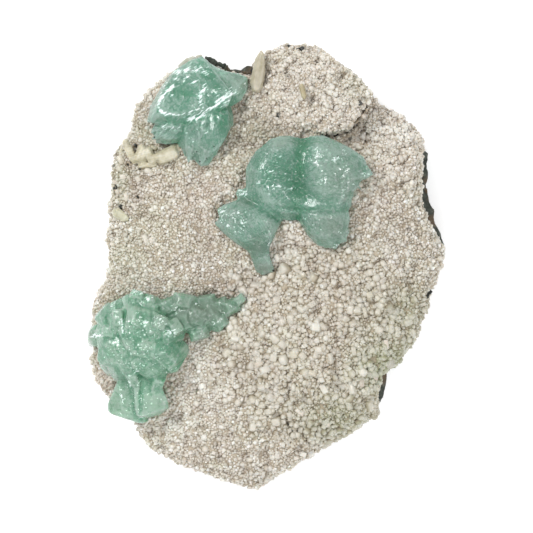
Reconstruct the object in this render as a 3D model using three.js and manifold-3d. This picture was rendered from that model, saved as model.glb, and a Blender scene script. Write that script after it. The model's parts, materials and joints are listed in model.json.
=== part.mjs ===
// Apophyllite cluster: three groups of pale green apophyllite and a few cream stilbite blades,
// grown on a granular cream druse that crusts a broken plate of dark basalt.
// The plate lies on its back. Millimetres, +Z up, +Y towards the narrow upper edge of the plate.
// The origin is under the middle of the whole specimen, on the face that it rests on.
import * as THREE from "three";
import { ConvexGeometry } from "three/addons/geometries/ConvexGeometry.js";
import { mergeVertices } from "three/addons/utils/BufferGeometryUtils.js";
import Module from "manifold-3d";

const wasm = await Module();
wasm.setup();

// ---------- Driving dimensions ----------

const PLATE_WIDTH = 120.4; // across X, over the crystals
const PLATE_LENGTH = 148; // along Y
const RIM_HEIGHT = 18; // of the druse just inside its rim, above the resting face
const CROWN = 9; // how much higher the middle of the plate is than its rim
const CRUST_THICKNESS = 5; // druse over basalt, measured upright
const SEAT_GAP = 0.3; // between two minerals that grew on each other

const LAND_STEP = 4; // spacing of the points that carry the druse's relief
const HIDDEN_STEP = 10; // the same for the face between druse and basalt, which nothing shows
const LUMP_SPACING = 8; // between the rounded lumps of the druse
const LUMP_HEIGHT = 1.8;
const RIM_ROUNDING = 6; // how far in from its rim the druse curves down
const RIM_DROP = 4.5;
const FLOOR = -1; // where a block of land starts, below the resting face
const SKY = 60; // above everything

// Edge of the druse, anticlockwise from above.
const DRUSE_EDGE = [
  [-4, 68], [-6.5, 64], [-13.5, 65], [-20, 68], [-26, 68], [-33, 63.5], [-39, 58.5], [-43.5, 52],
  [-45, 45], [-48.5, 40.5], [-51.5, 34.5], [-51, 26], [-52, 20], [-53, 9.5], [-52, -0.5],
  [-54, -6.5], [-57, -10.5], [-58, -18.5], [-57.5, -24.5], [-58.5, -32], [-56.5, -37.5],
  [-51.5, -45.5], [-43.5, -51.5], [-42, -56], [-36.5, -62], [-29.5, -65.5], [-19.5, -69],
  [-13, -71.5], [-4, -74], [3.5, -69.5], [15.5, -62.5], [27, -55.5], [36.5, -49.5], [37, -44],
  [39, -35.5], [43, -32.5], [48.5, -25.5], [53.5, -14.5], [54.5, -9], [58, -0.5], [59.4, 5.5],
  [55.2, 13], [51.4, 22.5], [51.6, 29.5], [53, 39.5], [50.5, 44.5], [44.5, 50.5], [37, 54],
  [31.5, 61.5], [23.5, 68], [18, 72.5], [10, 74], [5.5, 73.5], [0, 71],
];

// Edge of the basalt: inside the druse nearly all the way round, and just outside it on the
// right, at one notch on the lower right, and behind the upper left crystals.
const BASALT_EDGE = [
  [-33.5, 61.5], [-41.5, 51.5], [-45.5, 40], [-49.5, 32], [-51, 8.5], [-50, -2], [-54, -11.5],
  [-56, -28], [-54, -37.5], [-40.5, -54], [-29.5, -63.5], [-13.5, -69], [-4, -72], [11, -63],
  [26, -54.5], [37.8, -46.5], [39.8, -35.5], [47, -24.5], [52.5, -14.5], [55, -8.5], [57, 1],
  [60.2, 6.5], [58.5, 13], [56.2, 21.5], [54, 28.5], [53.8, 38.5], [50, 42.5], [44, 48.5],
  [35.5, 52.5], [30, 59.5], [18, 70], [10, 72.5], [5.5, 72.5], [-0.5, 68.5], [-6, 65],
  [-13, 66.2], [-20, 68.8], [-25, 66.5],
];

// Broad swells and hollows of the druse: middle, reach and rise (negative for a hollow).
const SWELLS = [
  { x: 16, y: -27, reachX: 30, reachY: 28, rise: 5.5 }, // wide lower mound
  { x: 45, y: 18, reachX: 13, reachY: 20, rise: 2.5 }, // right shoulder
  { x: -35, y: 12, reachX: 15, reachY: 20, rise: 3 }, // left shelf
  { x: 15, y: 59, reachX: 16, reachY: 12, rise: 4.5 }, // upper lobe
  { x: 31, y: 44.5, reachX: 6, reachY: 5.5, rise: -5 }, // recess under the upper lobe's ledge
  { x: -17, y: -12, reachX: 8, reachY: 7, rise: -5 }, // valley below the left shelf
  { x: -4, y: -2, reachX: 5, reachY: 5, rise: -3 }, // head of that valley
  { x: -26, y: -42, reachX: 5, reachY: 10, rise: -3 }, // furrow beside the lower left prism
  { x: -8, y: 46, reachX: 6, reachY: 9, rise: -2.5 }, // furrow beside the upper left crystals
];

// The upper lobe ends towards the middle of the plate in a ledge with a dark gap under it.
const LEDGE = {
  x: 18, y: 57, halfWidth: 17.2, halfLength: 13.6, thickness: 5.5, top: 2.6, lean: 11, toward: 125,
};

// Blocky druse crystals big enough to see from a step away, on the lower right of the plate.
const BLOCKS = { count: 20, x: 19, y: -27, reachX: 29, reachY: 26, least: 3, most: 5.6 };
const GOLDEN_ANGLE = Math.PI * (3 - Math.sqrt(5)); // spreads them evenly

// A rosette crystal starts this share of the way out from the rosette's heart, this much slimmer
// than at its end. The corners of its end are cut by this share of its width, and the end rises by
// another share of it to a small flat, as a blunt pyramid.
const ROSETTE = { start: 0.2, slimness: 0.6, cut: 0.3, point: 0.16, flat: 0.4 };

// A spray's wedges from root to tip, as [share of the way out, share of the crest's height].
const WEDGE_PROFILE = [[0.03, 0.8], [0.42, 1], [0.78, 0.86]];
const FLANK_DROP = 0.35; // how much lower the outermost wedges of a lobe are
const ROOT_DEPTH = 7; // how far crystals are carried down before the druse cuts them off

// ---------- Repeatable variation ----------

/** A value from 0 to 1 that is always the same for the same pair of numbers. */
function chance(i, j = 0) {
  const wave = Math.sin(i * 127.1 + j * 311.7) * 43758.5453;
  return wave - Math.floor(wave);
}

const degrees = THREE.MathUtils.degToRad;

// ---------- Solids ----------

/** A closed three.js geometry as a solid that can be joined and cut. */
function solidOf(geometry) {
  const bare = geometry.clone();
  bare.deleteAttribute("normal");
  bare.deleteAttribute("uv");
  const merged = mergeVertices(bare, 1e-4);
  return new wasm.Manifold(
    new wasm.Mesh({
      numProp: 3,
      vertProperties: merged.getAttribute("position").array,
      triVerts: new Uint32Array(merged.index.array),
    }),
  );
}

/** A finished solid as a flat-shaded geometry. */
function geometryOf(solid) {
  const { numProp, numVert, vertProperties, triVerts } = solid.getMesh();
  const position = new Float32Array(numVert * 3);
  for (let i = 0; i < numVert; i++) {
    position.set(vertProperties.subarray(i * numProp, i * numProp + 3), i * 3);
  }
  const geometry = new THREE.BufferGeometry()
    .setAttribute("position", new THREE.BufferAttribute(position, 3))
    .setIndex(new THREE.BufferAttribute(triVerts, 1))
    .toNonIndexed();
  geometry.computeVertexNormals();
  return geometry;
}

const fuse = (solids) => solids.reduce((whole, piece) => whole.add(piece));

/** The convex solid round some points, turned, leaned and put in place by a matrix. */
function hullOf(points, matrix = new THREE.Matrix4()) {
  return solidOf(new ConvexGeometry(points.map((p) => new THREE.Vector3(...p).applyMatrix4(matrix))));
}

/** A box cut into cells, whose points are then put elsewhere one by one.
 * The place is worked out from the point's share of the way across and along, and its side. */
function bentBox(cellsAcross, cellsAlong, placeAt) {
  const box = new THREE.BoxGeometry(1, 1, 1, cellsAcross, cellsAlong, 1);
  const points = box.getAttribute("position");
  for (let i = 0; i < points.count; i++) {
    points.setXYZ(i, ...placeAt(points.getX(i) + 0.5, points.getY(i) + 0.5, points.getZ(i) > 0));
  }
  return solidOf(box);
}

/** A solid that follows an edge seen from above, with that edge moved in at each level. */
function loft(edge, levels) {
  const corners = edge.length;
  const positions = levels.flatMap(({ z, inset, roughness = 0 }, level) =>
    edge.flatMap(([x, y], i) => {
      const share = 1 - (inset + roughness * (chance(i, level) - 0.5)) / Math.hypot(x, y);
      return [x * share, y * share, z];
    }),
  );
  const index = [];
  for (let level = 0; level + 1 < levels.length; level++) {
    for (let i = 0; i < corners; i++) {
      const a = level * corners + i;
      const b = level * corners + ((i + 1) % corners);
      index.push(a, b, a + corners, b, b + corners, a + corners);
    }
  }
  const bottom = positions.length / 3;
  positions.push(0, 0, levels[0].z, 0, 0, levels[levels.length - 1].z);
  const last = (levels.length - 1) * corners;
  for (let i = 0; i < corners; i++) {
    const next = (i + 1) % corners;
    index.push(bottom, next, i, bottom + 1, last + i, last + next);
  }
  const geometry = new THREE.BufferGeometry();
  geometry.setAttribute("position", new THREE.Float32BufferAttribute(positions, 3));
  geometry.setIndex(index);
  return solidOf(geometry);
}

// ---------- The lie of the druse ----------

/** Distance from the middle to the druse's edge, in the direction of a point. */
function edgeRadius(x, y) {
  for (let i = 0; i < DRUSE_EDGE.length; i++) {
    const [ax, ay] = DRUSE_EDGE[i];
    const [bx, by] = DRUSE_EDGE[(i + 1) % DRUSE_EDGE.length];
    const fromA = ax * y - ay * x;
    const fromB = bx * y - by * x;
    if (fromA <= 0 || fromB > 0 || ax * x + ay * y < 0) continue;
    const share = fromA / (fromA - fromB);
    return Math.hypot(ax + share * (bx - ax), ay + share * (by - ay));
  }
  return PLATE_LENGTH / 2;
}

/** Height of the druse without its lumps. */
function ground(x, y) {
  const radius = Math.hypot(x, y);
  const edge = edgeRadius(x, y);
  const share = radius / edge;
  let z = RIM_HEIGHT + CROWN * (1 - Math.min(share, 1.1) ** 2);
  for (const { x: sx, y: sy, reachX, reachY, rise } of SWELLS) {
    z += rise * Math.exp(-(((x - sx) / reachX) ** 2) - ((y - sy) / reachY) ** 2);
  }
  const towardsRim = THREE.MathUtils.clamp(1 - (edge - radius) / RIM_ROUNDING, 0, 1);
  return z - RIM_DROP * (1 - Math.sqrt(1 - towardsRim ** 2));
}

/** Rounded lumps, one in each cell of a shaken grid. */
function lumps(x, y) {
  const column = Math.floor(x / LUMP_SPACING);
  const row = Math.floor(y / LUMP_SPACING);
  let highest = 0;
  for (let i = column - 1; i <= column + 1; i++) {
    for (let j = row - 1; j <= row + 1; j++) {
      const cx = (i + 0.2 + 0.6 * chance(i, j)) * LUMP_SPACING;
      const cy = (j + 0.2 + 0.6 * chance(j, i + 50)) * LUMP_SPACING;
      const reach = LUMP_SPACING * (0.5 + 0.35 * chance(i + 9, j));
      const dome = 1 - ((x - cx) ** 2 + (y - cy) ** 2) / reach ** 2;
      highest = Math.max(highest, dome * (0.5 + 0.5 * chance(i, j + 7)));
    }
  }
  return LUMP_HEIGHT * highest;
}

/** A block of land: its top follows a height, and its points are shaken off their grid. */
function land(step, heightAt) {
  const columns = Math.round(PLATE_WIDTH / step) + 2;
  const rows = Math.round(PLATE_LENGTH / step) + 2;
  return bentBox(columns, rows, (across, along, isTop) => {
    const column = Math.round(across * columns);
    const row = Math.round(along * rows);
    const x = step * (column - columns / 2 + 0.4 * (chance(column, row) - 0.5));
    const y = step * (row - rows / 2 + 0.4 * (chance(row, column + 5) - 0.5));
    return [x, y, isTop ? heightAt(x, y) : FLOOR];
  });
}

// ---------- Druse and basalt ----------

/** The thick dome whose lower edge is the ledge of the upper lobe, tilted so that only that shows. */
function ledge() {
  const { x, y, halfWidth, halfLength, thickness, top, lean, toward } = LEDGE;
  const tilt = placing({ x, y, z: ground(x, y) + top - thickness, lean, toward });
  const dome = new THREE.SphereGeometry(1, 16, 9).rotateX(Math.PI / 2);
  dome.scale(halfWidth, halfLength, thickness).applyMatrix4(tilt);
  const points = dome.getAttribute("position");
  for (let i = 0; i < points.count; i++) {
    points.setZ(i, points.getZ(i) + lumps(points.getX(i), points.getY(i)));
  }
  return solidOf(dome);
}

/** The whole druse down to the floor: what the crystals stand on. */
const druseBody = land(LAND_STEP, (x, y) => ground(x, y) + lumps(x, y)).add(ledge());

const druseSides = loft(DRUSE_EDGE, [
  { z: 4, inset: 3, roughness: 2 },
  { z: 12, inset: 0 },
  { z: 18, inset: 0.6 },
  { z: SKY, inset: 1 },
]);

/** Height of the face between druse and basalt. */
function bedrock(x, y) {
  const around = [[0, 0], [2, 0], [-2, 0], [0, 2], [0, -2]];
  return Math.min(...around.map(([dx, dy]) => ground(x + dx, y + dy))) - CRUST_THICKNESS;
}

/** The largest blocky crystals of the druse, spread over an oval, fewer of them big than small. */
function drusyBlocks() {
  const blocks = [];
  for (let i = 0; i < BLOCKS.count; i++) {
    const out = Math.sqrt((i + 0.5) / BLOCKS.count);
    const x = BLOCKS.x + BLOCKS.reachX * out * Math.cos(i * GOLDEN_ANGLE);
    const y = BLOCKS.y + BLOCKS.reachY * out * Math.sin(i * GOLDEN_ANGLE);
    const size = BLOCKS.least + (BLOCKS.most - BLOCKS.least) * chance(i, 3) ** 2;
    if (Math.hypot(x, y) > edgeRadius(x, y) - size) continue;
    blocks.push(bluntCrystal({
      x, y, w: size, d: size * (0.7 + 0.3 * chance(i, 4)),
      rise: 0.45 * size, root: 0.3 * size, lift: 0.6 * lumps(x, y),
      turn: 360 * chance(i, 5), lean: 25 * chance(i, 6), toward: 360 * chance(i, 7),
    }));
  }
  return fuse(blocks);
}

function druseCrust() {
  return druseBody.intersect(druseSides).add(drusyBlocks()).subtract(land(HIDDEN_STEP, bedrock));
}

function basaltMatrix() {
  const sides = loft(BASALT_EDGE, [
    { z: 0, inset: 8, roughness: 3 },
    { z: 4, inset: 3, roughness: 3 },
    { z: 10, inset: 0 },
    { z: SKY, inset: 0 },
  ]);
  return land(HIDDEN_STEP, (x, y) => bedrock(x, y) - SEAT_GAP).intersect(sides);
}

// ---------- Crystals ----------

/** A matrix that turns about Z, then leans towards a heading, then moves into place. */
function placing({ x, y, z, turn = 0, lean = 0, toward = 0 }) {
  const axis = new THREE.Vector3(-Math.sin(degrees(toward)), Math.cos(degrees(toward)), 0);
  return new THREE.Matrix4()
    .makeTranslation(x, y, z)
    .multiply(new THREE.Matrix4().makeRotationAxis(axis, degrees(lean)))
    .multiply(new THREE.Matrix4().makeRotationZ(degrees(turn)));
}

const CORNERS = [[1, 1], [-1, 1], [-1, -1], [1, -1]];

/** A blunt crystal: a four-sided prism whose top edges slope in all round. */
function bluntCrystal({ x, y, w, d, rise, lift, root = ROOT_DEPTH, ...attitude }) {
  const [a, b] = [w / 2, d / 2];
  const points = CORNERS.flatMap(([sx, sy]) => [
    [sx * a, sy * b, -root],
    [sx * a, sy * b, rise - 0.25 * w],
    [sx * a * 0.55, sy * b * 0.55, rise],
  ]);
  return hullOf(points, placing({ x, y, z: ground(x, y) + lift, ...attitude }));
}

/** A lobe of a spray: wedge-shaped crystals side by side, which rise from a shared root to a crest
 * and thin out to their tips. Each ray is [heading, length], listed anticlockwise. */
function sprayLobe({ x, y, rays, crest, tip }) {
  const base = ground(x, y);
  const profile = [...WEDGE_PROFILE, [1, tip / crest]];
  return bentBox(rays.length - 1, profile.length - 1, (across, along, isTop) => {
    const [heading, length] = rays[Math.round((1 - across) * (rays.length - 1))];
    const [share, rise] = profile[Math.round(along * (profile.length - 1))];
    const flank = 1 - FLANK_DROP * Math.abs(2 * across - 1) ** 3;
    const height = crest * rise * flank * (0.97 + 0.06 * chance(heading, length));
    const reach = length * share * (isTop ? 1 : 0.9);
    return [
      x + reach * Math.cos(degrees(heading)),
      y + reach * Math.sin(degrees(heading)),
      base + (isTop ? height : -ROOT_DEPTH),
    ];
  });
}

/** A four-sided crystal of a rosette, which grows from the rosette's heart out to its own flat end.
 * It is given as [x, y, height over the druse, width, depth, turn] of that end. */
function rosetteCrystal(heart, [x, y, height, w, d, turn]) {
  const from = new THREE.Vector3(...heart);
  const end = new THREE.Vector3(x, y, ground(x, y) + height);
  const length = from.distanceTo(end);
  const { start, slimness, cut, point, flat } = ROSETTE;
  const width = Math.min(w, d);
  const points = CORNERS.flatMap(([sx, sy]) => {
    const [cornerX, cornerY] = [sx * w / 2, sy * d / 2];
    return [
      [cornerX * slimness, cornerY * slimness, length * start],
      [cornerX, cornerY, length - (cut + point) * width],
      [cornerX * (1 - cut), cornerY, length - point * width],
      [cornerX, cornerY * (1 - cut), length - point * width],
      [cornerX * flat, cornerY * flat, length],
    ];
  });
  const out = end.sub(from).normalize();
  const attitude = new THREE.Quaternion().setFromUnitVectors(new THREE.Vector3(0, 0, 1), out);
  const matrix = new THREE.Matrix4().compose(from, attitude, new THREE.Vector3(1, 1, 1));
  return hullOf(points, matrix.multiply(new THREE.Matrix4().makeRotationZ(degrees(turn))));
}

/** A tabular crystal: a rim low down and a smaller flat face above it. */
function tabularCrystal({ x, y, rim, rimHeight, face, faceHeight, slopeX = 0, slopeY = 0 }) {
  const base = ground(x, y);
  const tilted = (px, py, z) => [px, py, base + z + slopeX * (px - x) + slopeY * (py - y)];
  return hullOf([
    ...rim.map(([px, py]) => tilted(x + (px - x) * 0.9, y + (py - y) * 0.9, -ROOT_DEPTH)),
    ...rim.map(([px, py]) => tilted(px, py, rimHeight)),
    ...face.map(([px, py]) => tilted(px, py, faceHeight)),
  ]);
}

/** Upper left: a thick tilted cap crystal over a skirt of leaf-like wedges. */
function upperLeftCrystals() {
  const cap = tabularCrystal({
    x: -25, y: 56, slopeX: 0.05, slopeY: -0.03,
    rim: [
      [-39.5, 47.7], [-38.4, 53], [-34.6, 59.8], [-31, 64.4], [-25, 68.2], [-21.2, 69.5],
      [-18, 64.2], [-14.4, 58.2], [-11, 57.2], [-12.6, 53], [-18.2, 50.2], [-25.4, 47.6], [-33.6, 46.8],
    ],
    rimHeight: 7,
    face: [
      [-34.4, 53.6], [-31.6, 58.4], [-27.2, 60.4], [-22.6, 59.6],
      [-21.8, 55.6], [-24.8, 51.4], [-29.8, 50.2], [-33.6, 51.8],
    ],
    faceHeight: 10,
  });
  const rightCrystal = tabularCrystal({
    x: -12, y: 61,
    rim: [
      [-20.6, 68.9], [-15.4, 66.4], [-12.2, 65], [-6.2, 62.6], [-6.4, 58.2], [-8.4, 54.9],
      [-12.6, 52.4], [-18, 56],
    ],
    rimHeight: 5,
    face: [[-17.2, 65.4], [-11.6, 61.6], [-8.8, 59.8], [-10.4, 56.8], [-14, 56]],
    faceHeight: 8,
  });
  const skirt = sprayLobe({
    x: -18.2, y: 53, crest: 8, tip: 3.5,
    rays: [
      [-165, 12], [-150, 13.5], [-138, 15.4], [-128, 17.6], [-121, 20.4], [-116, 19.4], [-109, 20.4],
      [-100, 21.6], [-93, 20.8], [-85, 18.8], [-76, 16.8], [-65, 14.2], [-52, 11.6], [-38, 9.4],
      [-20, 7.6], [4, 6.4],
    ],
  });
  const sideLobe = sprayLobe({
    x: -25.5, y: 48, crest: 6.5, tip: 3,
    rays: [
      [170, 9], [-176, 11.5], [-164, 13.4], [-156, 12.2], [-147, 13.2], [-136, 11], [-122, 8.6],
      [-104, 7],
    ],
  });
  return fuse([cap, rightCrystal, skirt, sideLobe]);
}

/** Middle: a bow-tie spray of three lobes, and the small spray with a stem beside it. */
function middleCrystals() {
  const leftLobe = sprayLobe({
    x: 12, y: 28, crest: 10, tip: 4.5,
    rays: [
      [84, 13.6], [97, 14.8], [108, 16], [118, 17], [128, 17.8], [138, 17.8], [147, 18.6],
      [157, 18.8], [167, 19.4], [178, 18.9], [188, 19], [198, 17.9], [209, 17.2], [221, 16],
      [233, 15.2], [246, 14], [258, 13.2], [270, 12], [283, 11.4],
    ],
  });
  const rightLobe = sprayLobe({
    x: 10.6, y: 27, crest: 9.5, tip: 4,
    rays: [
      [-52, 15], [-40, 17.8], [-31, 20.2], [-25, 18.8], [-17, 20.2], [-11, 19], [-5, 21.6], [1, 20.8],
      [8, 25], [15, 23.6], [23, 23.4], [32, 21.6], [42, 20], [53, 18.8], [64, 18.2], [75, 16.6],
      [86, 15.2], [98, 14.6],
    ],
  });
  const lowerLobe = sprayLobe({
    x: 10.6, y: 22.5, crest: 8.5, tip: 4,
    rays: [
      [-96, 6], [-84, 9], [-76, 13], [-68, 17], [-61, 18.8], [-54, 21], [-48, 20.2],
      [-42, 21.6], [-35, 20.6], [-28, 20.4], [-20, 19], [-8, 18], [10, 15], [40, 9],
    ],
  });
  const smallSpray = sprayLobe({
    x: 2, y: 9.4, crest: 7.2, tip: 3,
    rays: [
      [60, 5.6], [80, 7.4], [98, 10], [112, 13], [125, 15.6], [136, 17.6], [145, 19.4], [153, 20.8],
      [159, 18.6], [166, 20], [174, 16.4], [184, 13.4], [197, 10.6], [212, 8.8],
    ],
  });
  const stem = tabularCrystal({
    x: -0.5, y: 4,
    rim: [
      [-7, 8], [-4.4, 2], [-3.4, -1.8], [-1.4, -3], [3, -1.6], [1.2, 3.5], [4, 9], [2, 14], [-3, 14],
    ],
    rimHeight: 2.2,
    face: [[-4, 9], [-2, 1], [1, 0.4], [0.2, 5], [1.6, 10], [-1, 13]],
    faceHeight: 4.8,
  });
  const sliver = bluntCrystal({ x: -7, y: 23.6, w: 6, d: 2.6, turn: -22, rise: 4.5, lift: 0.5 });
  return fuse([leftLobe, rightLobe, lowerLobe, smallSpray, stem, sliver]);
}

/** Lower left: a rosette of blocky crystals, with a trail of small ones along the valley. */
function lowerLeftCrystals() {
  const heart = [-43, -25, ground(-43, -25) - 6];
  const rosette = [
    [-53.6, -15.2, 7, 10, 8, -40], [-49.2, -11.6, 6, 5, 5, 20], [-43, -10.4, 8, 8.6, 7, 10],
    [-37.8, -10.6, 7, 6, 5.6, -20], [-48.6, -17.4, 11, 8, 8, 10], [-41, -16.2, 12, 10, 8, -8],
    [-35.6, -18.8, 11, 9, 8, 25], [-30.2, -21, 8.6, 9, 7, 12], [-53.6, -22.4, 9.6, 10, 9, 15],
    [-59, -22.8, 7, 6.5, 7, 0], [-50, -28.6, 11.5, 14, 12, -10], [-43, -21.8, 13, 10, 9, 25],
    [-39, -26, 13, 9, 8.5, -15], [-30.6, -28, 8.6, 14, 11, -35], [-36.4, -33, 9.6, 13, 11, -40],
    [-48.4, -34, 9, 11, 10, 20], [-42.6, -31.4, 11, 10, 10, -5], [-53.4, -34.6, 3.4, 7.6, 6.6, 35],
  ].map((crystal) => rosetteCrystal(heart, crystal));
  const prismRoot = [-42.5, -29, ground(-42.5, -29) + 3];
  const prisms = [
    [-46.6, -50, 3.2, 11.5, 10, 4], [-37.4, -49.4, 3.2, 11, 10, 8], [-41.4, -51.8, 2.4, 5, 5, 30],
  ].map((crystal) => rosetteCrystal(prismRoot, crystal));
  const trail = [ // x, y, width, depth, turn, rise, lean, and the heading it leans towards
    [-32.4, -14.4, 7, 6.4, 20, 6.5, 12, 90], [-27.4, -12.6, 7.4, 6, -10, 6.5, 10, 80],
    [-28.6, -18, 8.4, 7.4, 25, 7, 10, -60], [-23.6, -16.6, 8.4, 8, -20, 6.5, 8, 0],
    [-20.6, -12.8, 8, 5.4, 10, 6, 12, 80], [-18.6, -16.6, 8, 7, -35, 6, 10, -40],
    [-22.4, -21.2, 6.6, 4.4, 15, 5.5, 15, -80], [-15.8, -13.8, 7.4, 5.4, 25, 5.6, 10, 60],
    [-12, -13.4, 6.6, 5.2, 22, 4.8, 12, 20], [-9.6, -11.6, 4, 3, 40, 4.6, 20, 40],
    [-15.5, -18, 5.4, 4.2, 40, 4.8, 15, -60],
  ].map(([x, y, w, d, turn, rise, lean, toward]) =>
    bluntCrystal({ x, y, w, d, turn, rise, lift: 0, lean, toward }));
  return fuse([...rosette, ...prisms, ...trail]);
}

/** A stilbite blade: a long flat lozenge with rounded ends, lying on its side. */
function stilbiteBlade({ from, to, width, thickness, lift }) {
  const [dx, dy] = [to[0] - from[0], to[1] - from[1]];
  const [x, y] = [(from[0] + to[0]) / 2, (from[1] + to[1]) / 2];
  const length = Math.hypot(dx, dy);
  const points = [];
  for (const [along, across] of [[-0.5, 0.2], [-0.3, 0.5], [0.28, 0.46], [0.5, 0.2]]) {
    for (const side of [-1, 1]) {
      points.push([along * length, side * across * width, 0]);
      points.push([along * length, side * across * width, 0.7 * thickness]);
      points.push([along * length * 0.9, side * across * width * 0.5, thickness]);
    }
  }
  const turn = THREE.MathUtils.radToDeg(Math.atan2(dy, dx));
  return hullOf(points, placing({ x, y, z: ground(x, y) + lift, turn }));
}

const STILBITES = {
  stilbite_upper_blade: [
    { from: [-3.6, 57.6], to: [-0.9, 71.4], width: 5, thickness: 5, lift: -0.5 },
  ],
  stilbite_left_blades: [
    { from: [-37, 34], to: [-30.4, 37.6], width: 4.2, thickness: 4.5, lift: -1 },
    { from: [-39.6, 38.6], to: [-37, 33.8], width: 5, thickness: 4, lift: -0.8 },
    { from: [-40.8, 39.2], to: [-43.6, 33.8], width: 3.8, thickness: 4.2, lift: -0.8 },
    { from: [-46.8, 41.4], to: [-43, 33.6], width: 3, thickness: 4.4, lift: -0.6 },
  ],
  stilbite_small_blade: [
    { from: [11.4, 60.2], to: [12.6, 55], width: 1.9, thickness: 3, lift: 3.2 },
  ],
  stilbite_edge_blade: [
    { from: [-51, 18.6], to: [-45.4, 15.4], width: 3.4, thickness: 4, lift: -1 },
  ],
};

// ---------- Assembly ----------

const MATERIALS = {
  basalt: new THREE.MeshStandardMaterial({ color: 0x4b4e46, roughness: 0.85, metalness: 0 }),
  druse: new THREE.MeshStandardMaterial({ color: 0xcabfae, roughness: 0.6, metalness: 0 }),
  apophyllite: new THREE.MeshStandardMaterial({ color: 0x8fbda5, roughness: 0.2, metalness: 0 }),
  stilbite: new THREE.MeshStandardMaterial({ color: 0xc9c0a2, roughness: 0.4, metalness: 0 }),
};

const specimen = new THREE.Group();

function addPiece(name, solid, material) {
  const mesh = new THREE.Mesh(geometryOf(solid), MATERIALS[material]);
  mesh.name = name;
  specimen.add(mesh);
}

/** Cuts away what would lie in the druse, and leaves the seat gap over it. */
const seated = (crystals) => crystals.subtract(druseBody.translate(0, 0, SEAT_GAP));

addPiece("basalt_matrix", basaltMatrix(), "basalt");
addPiece("druse_crust", druseCrust(), "druse");
addPiece("apophyllite_upper_left", seated(upperLeftCrystals()), "apophyllite");
addPiece("apophyllite_middle", seated(middleCrystals()), "apophyllite");
addPiece("apophyllite_lower_left", seated(lowerLeftCrystals()), "apophyllite");
for (const [name, blades] of Object.entries(STILBITES)) {
  addPiece(name, seated(fuse(blades.map(stilbiteBlade))), "stilbite");
}

export default specimen;
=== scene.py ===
# %% [markdown]
# # Apophyllite cluster on a druse
# The specimen is a broken plate of dark basalt with a pale sugary crust on it, the druse. Three groups of
# green apophyllite crystals and a few cream stilbite blades grew on the crust. The solids of the CAD model
# give every form its size and place. This lesson gives them their grain, their growth lines and their
# clear green depth.

# %% Load the solids
import json
import math

import bpy
import numpy as np
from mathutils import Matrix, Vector, noise
from mathutils.bvhtree import BVHTree

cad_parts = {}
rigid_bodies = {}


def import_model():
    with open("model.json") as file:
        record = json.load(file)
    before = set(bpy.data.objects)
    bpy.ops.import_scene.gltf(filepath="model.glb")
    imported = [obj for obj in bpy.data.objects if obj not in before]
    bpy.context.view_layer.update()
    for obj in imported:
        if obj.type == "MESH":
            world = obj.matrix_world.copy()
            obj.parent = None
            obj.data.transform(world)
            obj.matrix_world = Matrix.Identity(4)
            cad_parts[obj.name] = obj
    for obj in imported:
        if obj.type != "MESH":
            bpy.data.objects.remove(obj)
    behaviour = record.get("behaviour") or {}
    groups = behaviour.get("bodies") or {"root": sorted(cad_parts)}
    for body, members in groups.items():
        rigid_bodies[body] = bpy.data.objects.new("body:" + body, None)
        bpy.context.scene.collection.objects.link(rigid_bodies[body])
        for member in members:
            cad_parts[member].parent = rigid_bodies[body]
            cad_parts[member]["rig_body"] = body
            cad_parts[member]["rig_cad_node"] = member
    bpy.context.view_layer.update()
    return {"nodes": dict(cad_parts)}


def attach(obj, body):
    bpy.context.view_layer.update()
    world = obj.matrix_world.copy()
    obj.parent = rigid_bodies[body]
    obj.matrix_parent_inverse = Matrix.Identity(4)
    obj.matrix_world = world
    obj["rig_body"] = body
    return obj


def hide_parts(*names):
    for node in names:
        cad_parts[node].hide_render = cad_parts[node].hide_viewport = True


MM = 0.001
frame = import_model()
SOLIDS = frame["nodes"]

# %% [markdown]
# ## Camera
# A hand specimen is shown from straight above, as it lies in a drawer. A long lens from one and a half
# metres keeps the high crystals from leaning outwards, so a 300 mm lens looks straight down.

# %% Camera
VIEW_WIDTH = 176.8 * MM  # what the picture takes in at the middle of the plate's thickness
MIDDLE_HEIGHT = 20 * MM
LENS = 300.0
SENSOR = 36.0

bpy.ops.object.select_all(action="DESELECT")
camera_height = MIDDLE_HEIGHT + VIEW_WIDTH * LENS / SENSOR
bpy.ops.object.camera_add(location=(0, 0, camera_height), rotation=(0, 0, 0))
camera = bpy.context.object
camera.data.lens = LENS
camera.data.sensor_width = SENSOR
bpy.context.scene.camera = camera
print("camera height in mm:", round(camera_height / MM))

# %% [markdown]
# ## Handling the pieces
# Every piece starts as a copy of its solid. The copy's loose triangles are merged, it is remeshed into even
# small cells, and modifiers then shape it. The helpers select one piece, add a modifier and apply it at
# once, as the buttons of the modifier tab do.


# %% Helpers for one piece
def only(*chosen):
    """Selects these and nothing else, and makes the last one active."""
    bpy.ops.object.select_all(action="DESELECT")
    for piece in chosen:
        piece.select_set(True)
    bpy.context.view_layer.objects.active = chosen[-1]


def copy_of(node, name):
    """A free copy of a solid, with its triangles joined at their corners."""
    only(SOLIDS[node])
    bpy.ops.object.duplicate()
    piece = bpy.context.object
    piece.name = name
    piece.data.name = name
    bpy.ops.object.parent_clear(type="CLEAR_KEEP_TRANSFORM")
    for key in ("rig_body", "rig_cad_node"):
        del piece[key]
    piece.data.materials.clear()
    bpy.ops.object.mode_set(mode="EDIT")
    bpy.ops.mesh.select_all(action="SELECT")
    bpy.ops.mesh.remove_doubles(threshold=0.001 * MM)
    bpy.ops.object.mode_set(mode="OBJECT")
    return piece


def shape(piece, kind, **settings):
    """Adds a modifier to a piece, sets it and applies it."""
    only(piece)
    bpy.ops.object.modifier_add(type=kind)
    modifier = piece.modifiers[-1]
    for setting, value in settings.items():
        setattr(modifier, setting, value)
    bpy.ops.object.modifier_apply(modifier=modifier.name)


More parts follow.
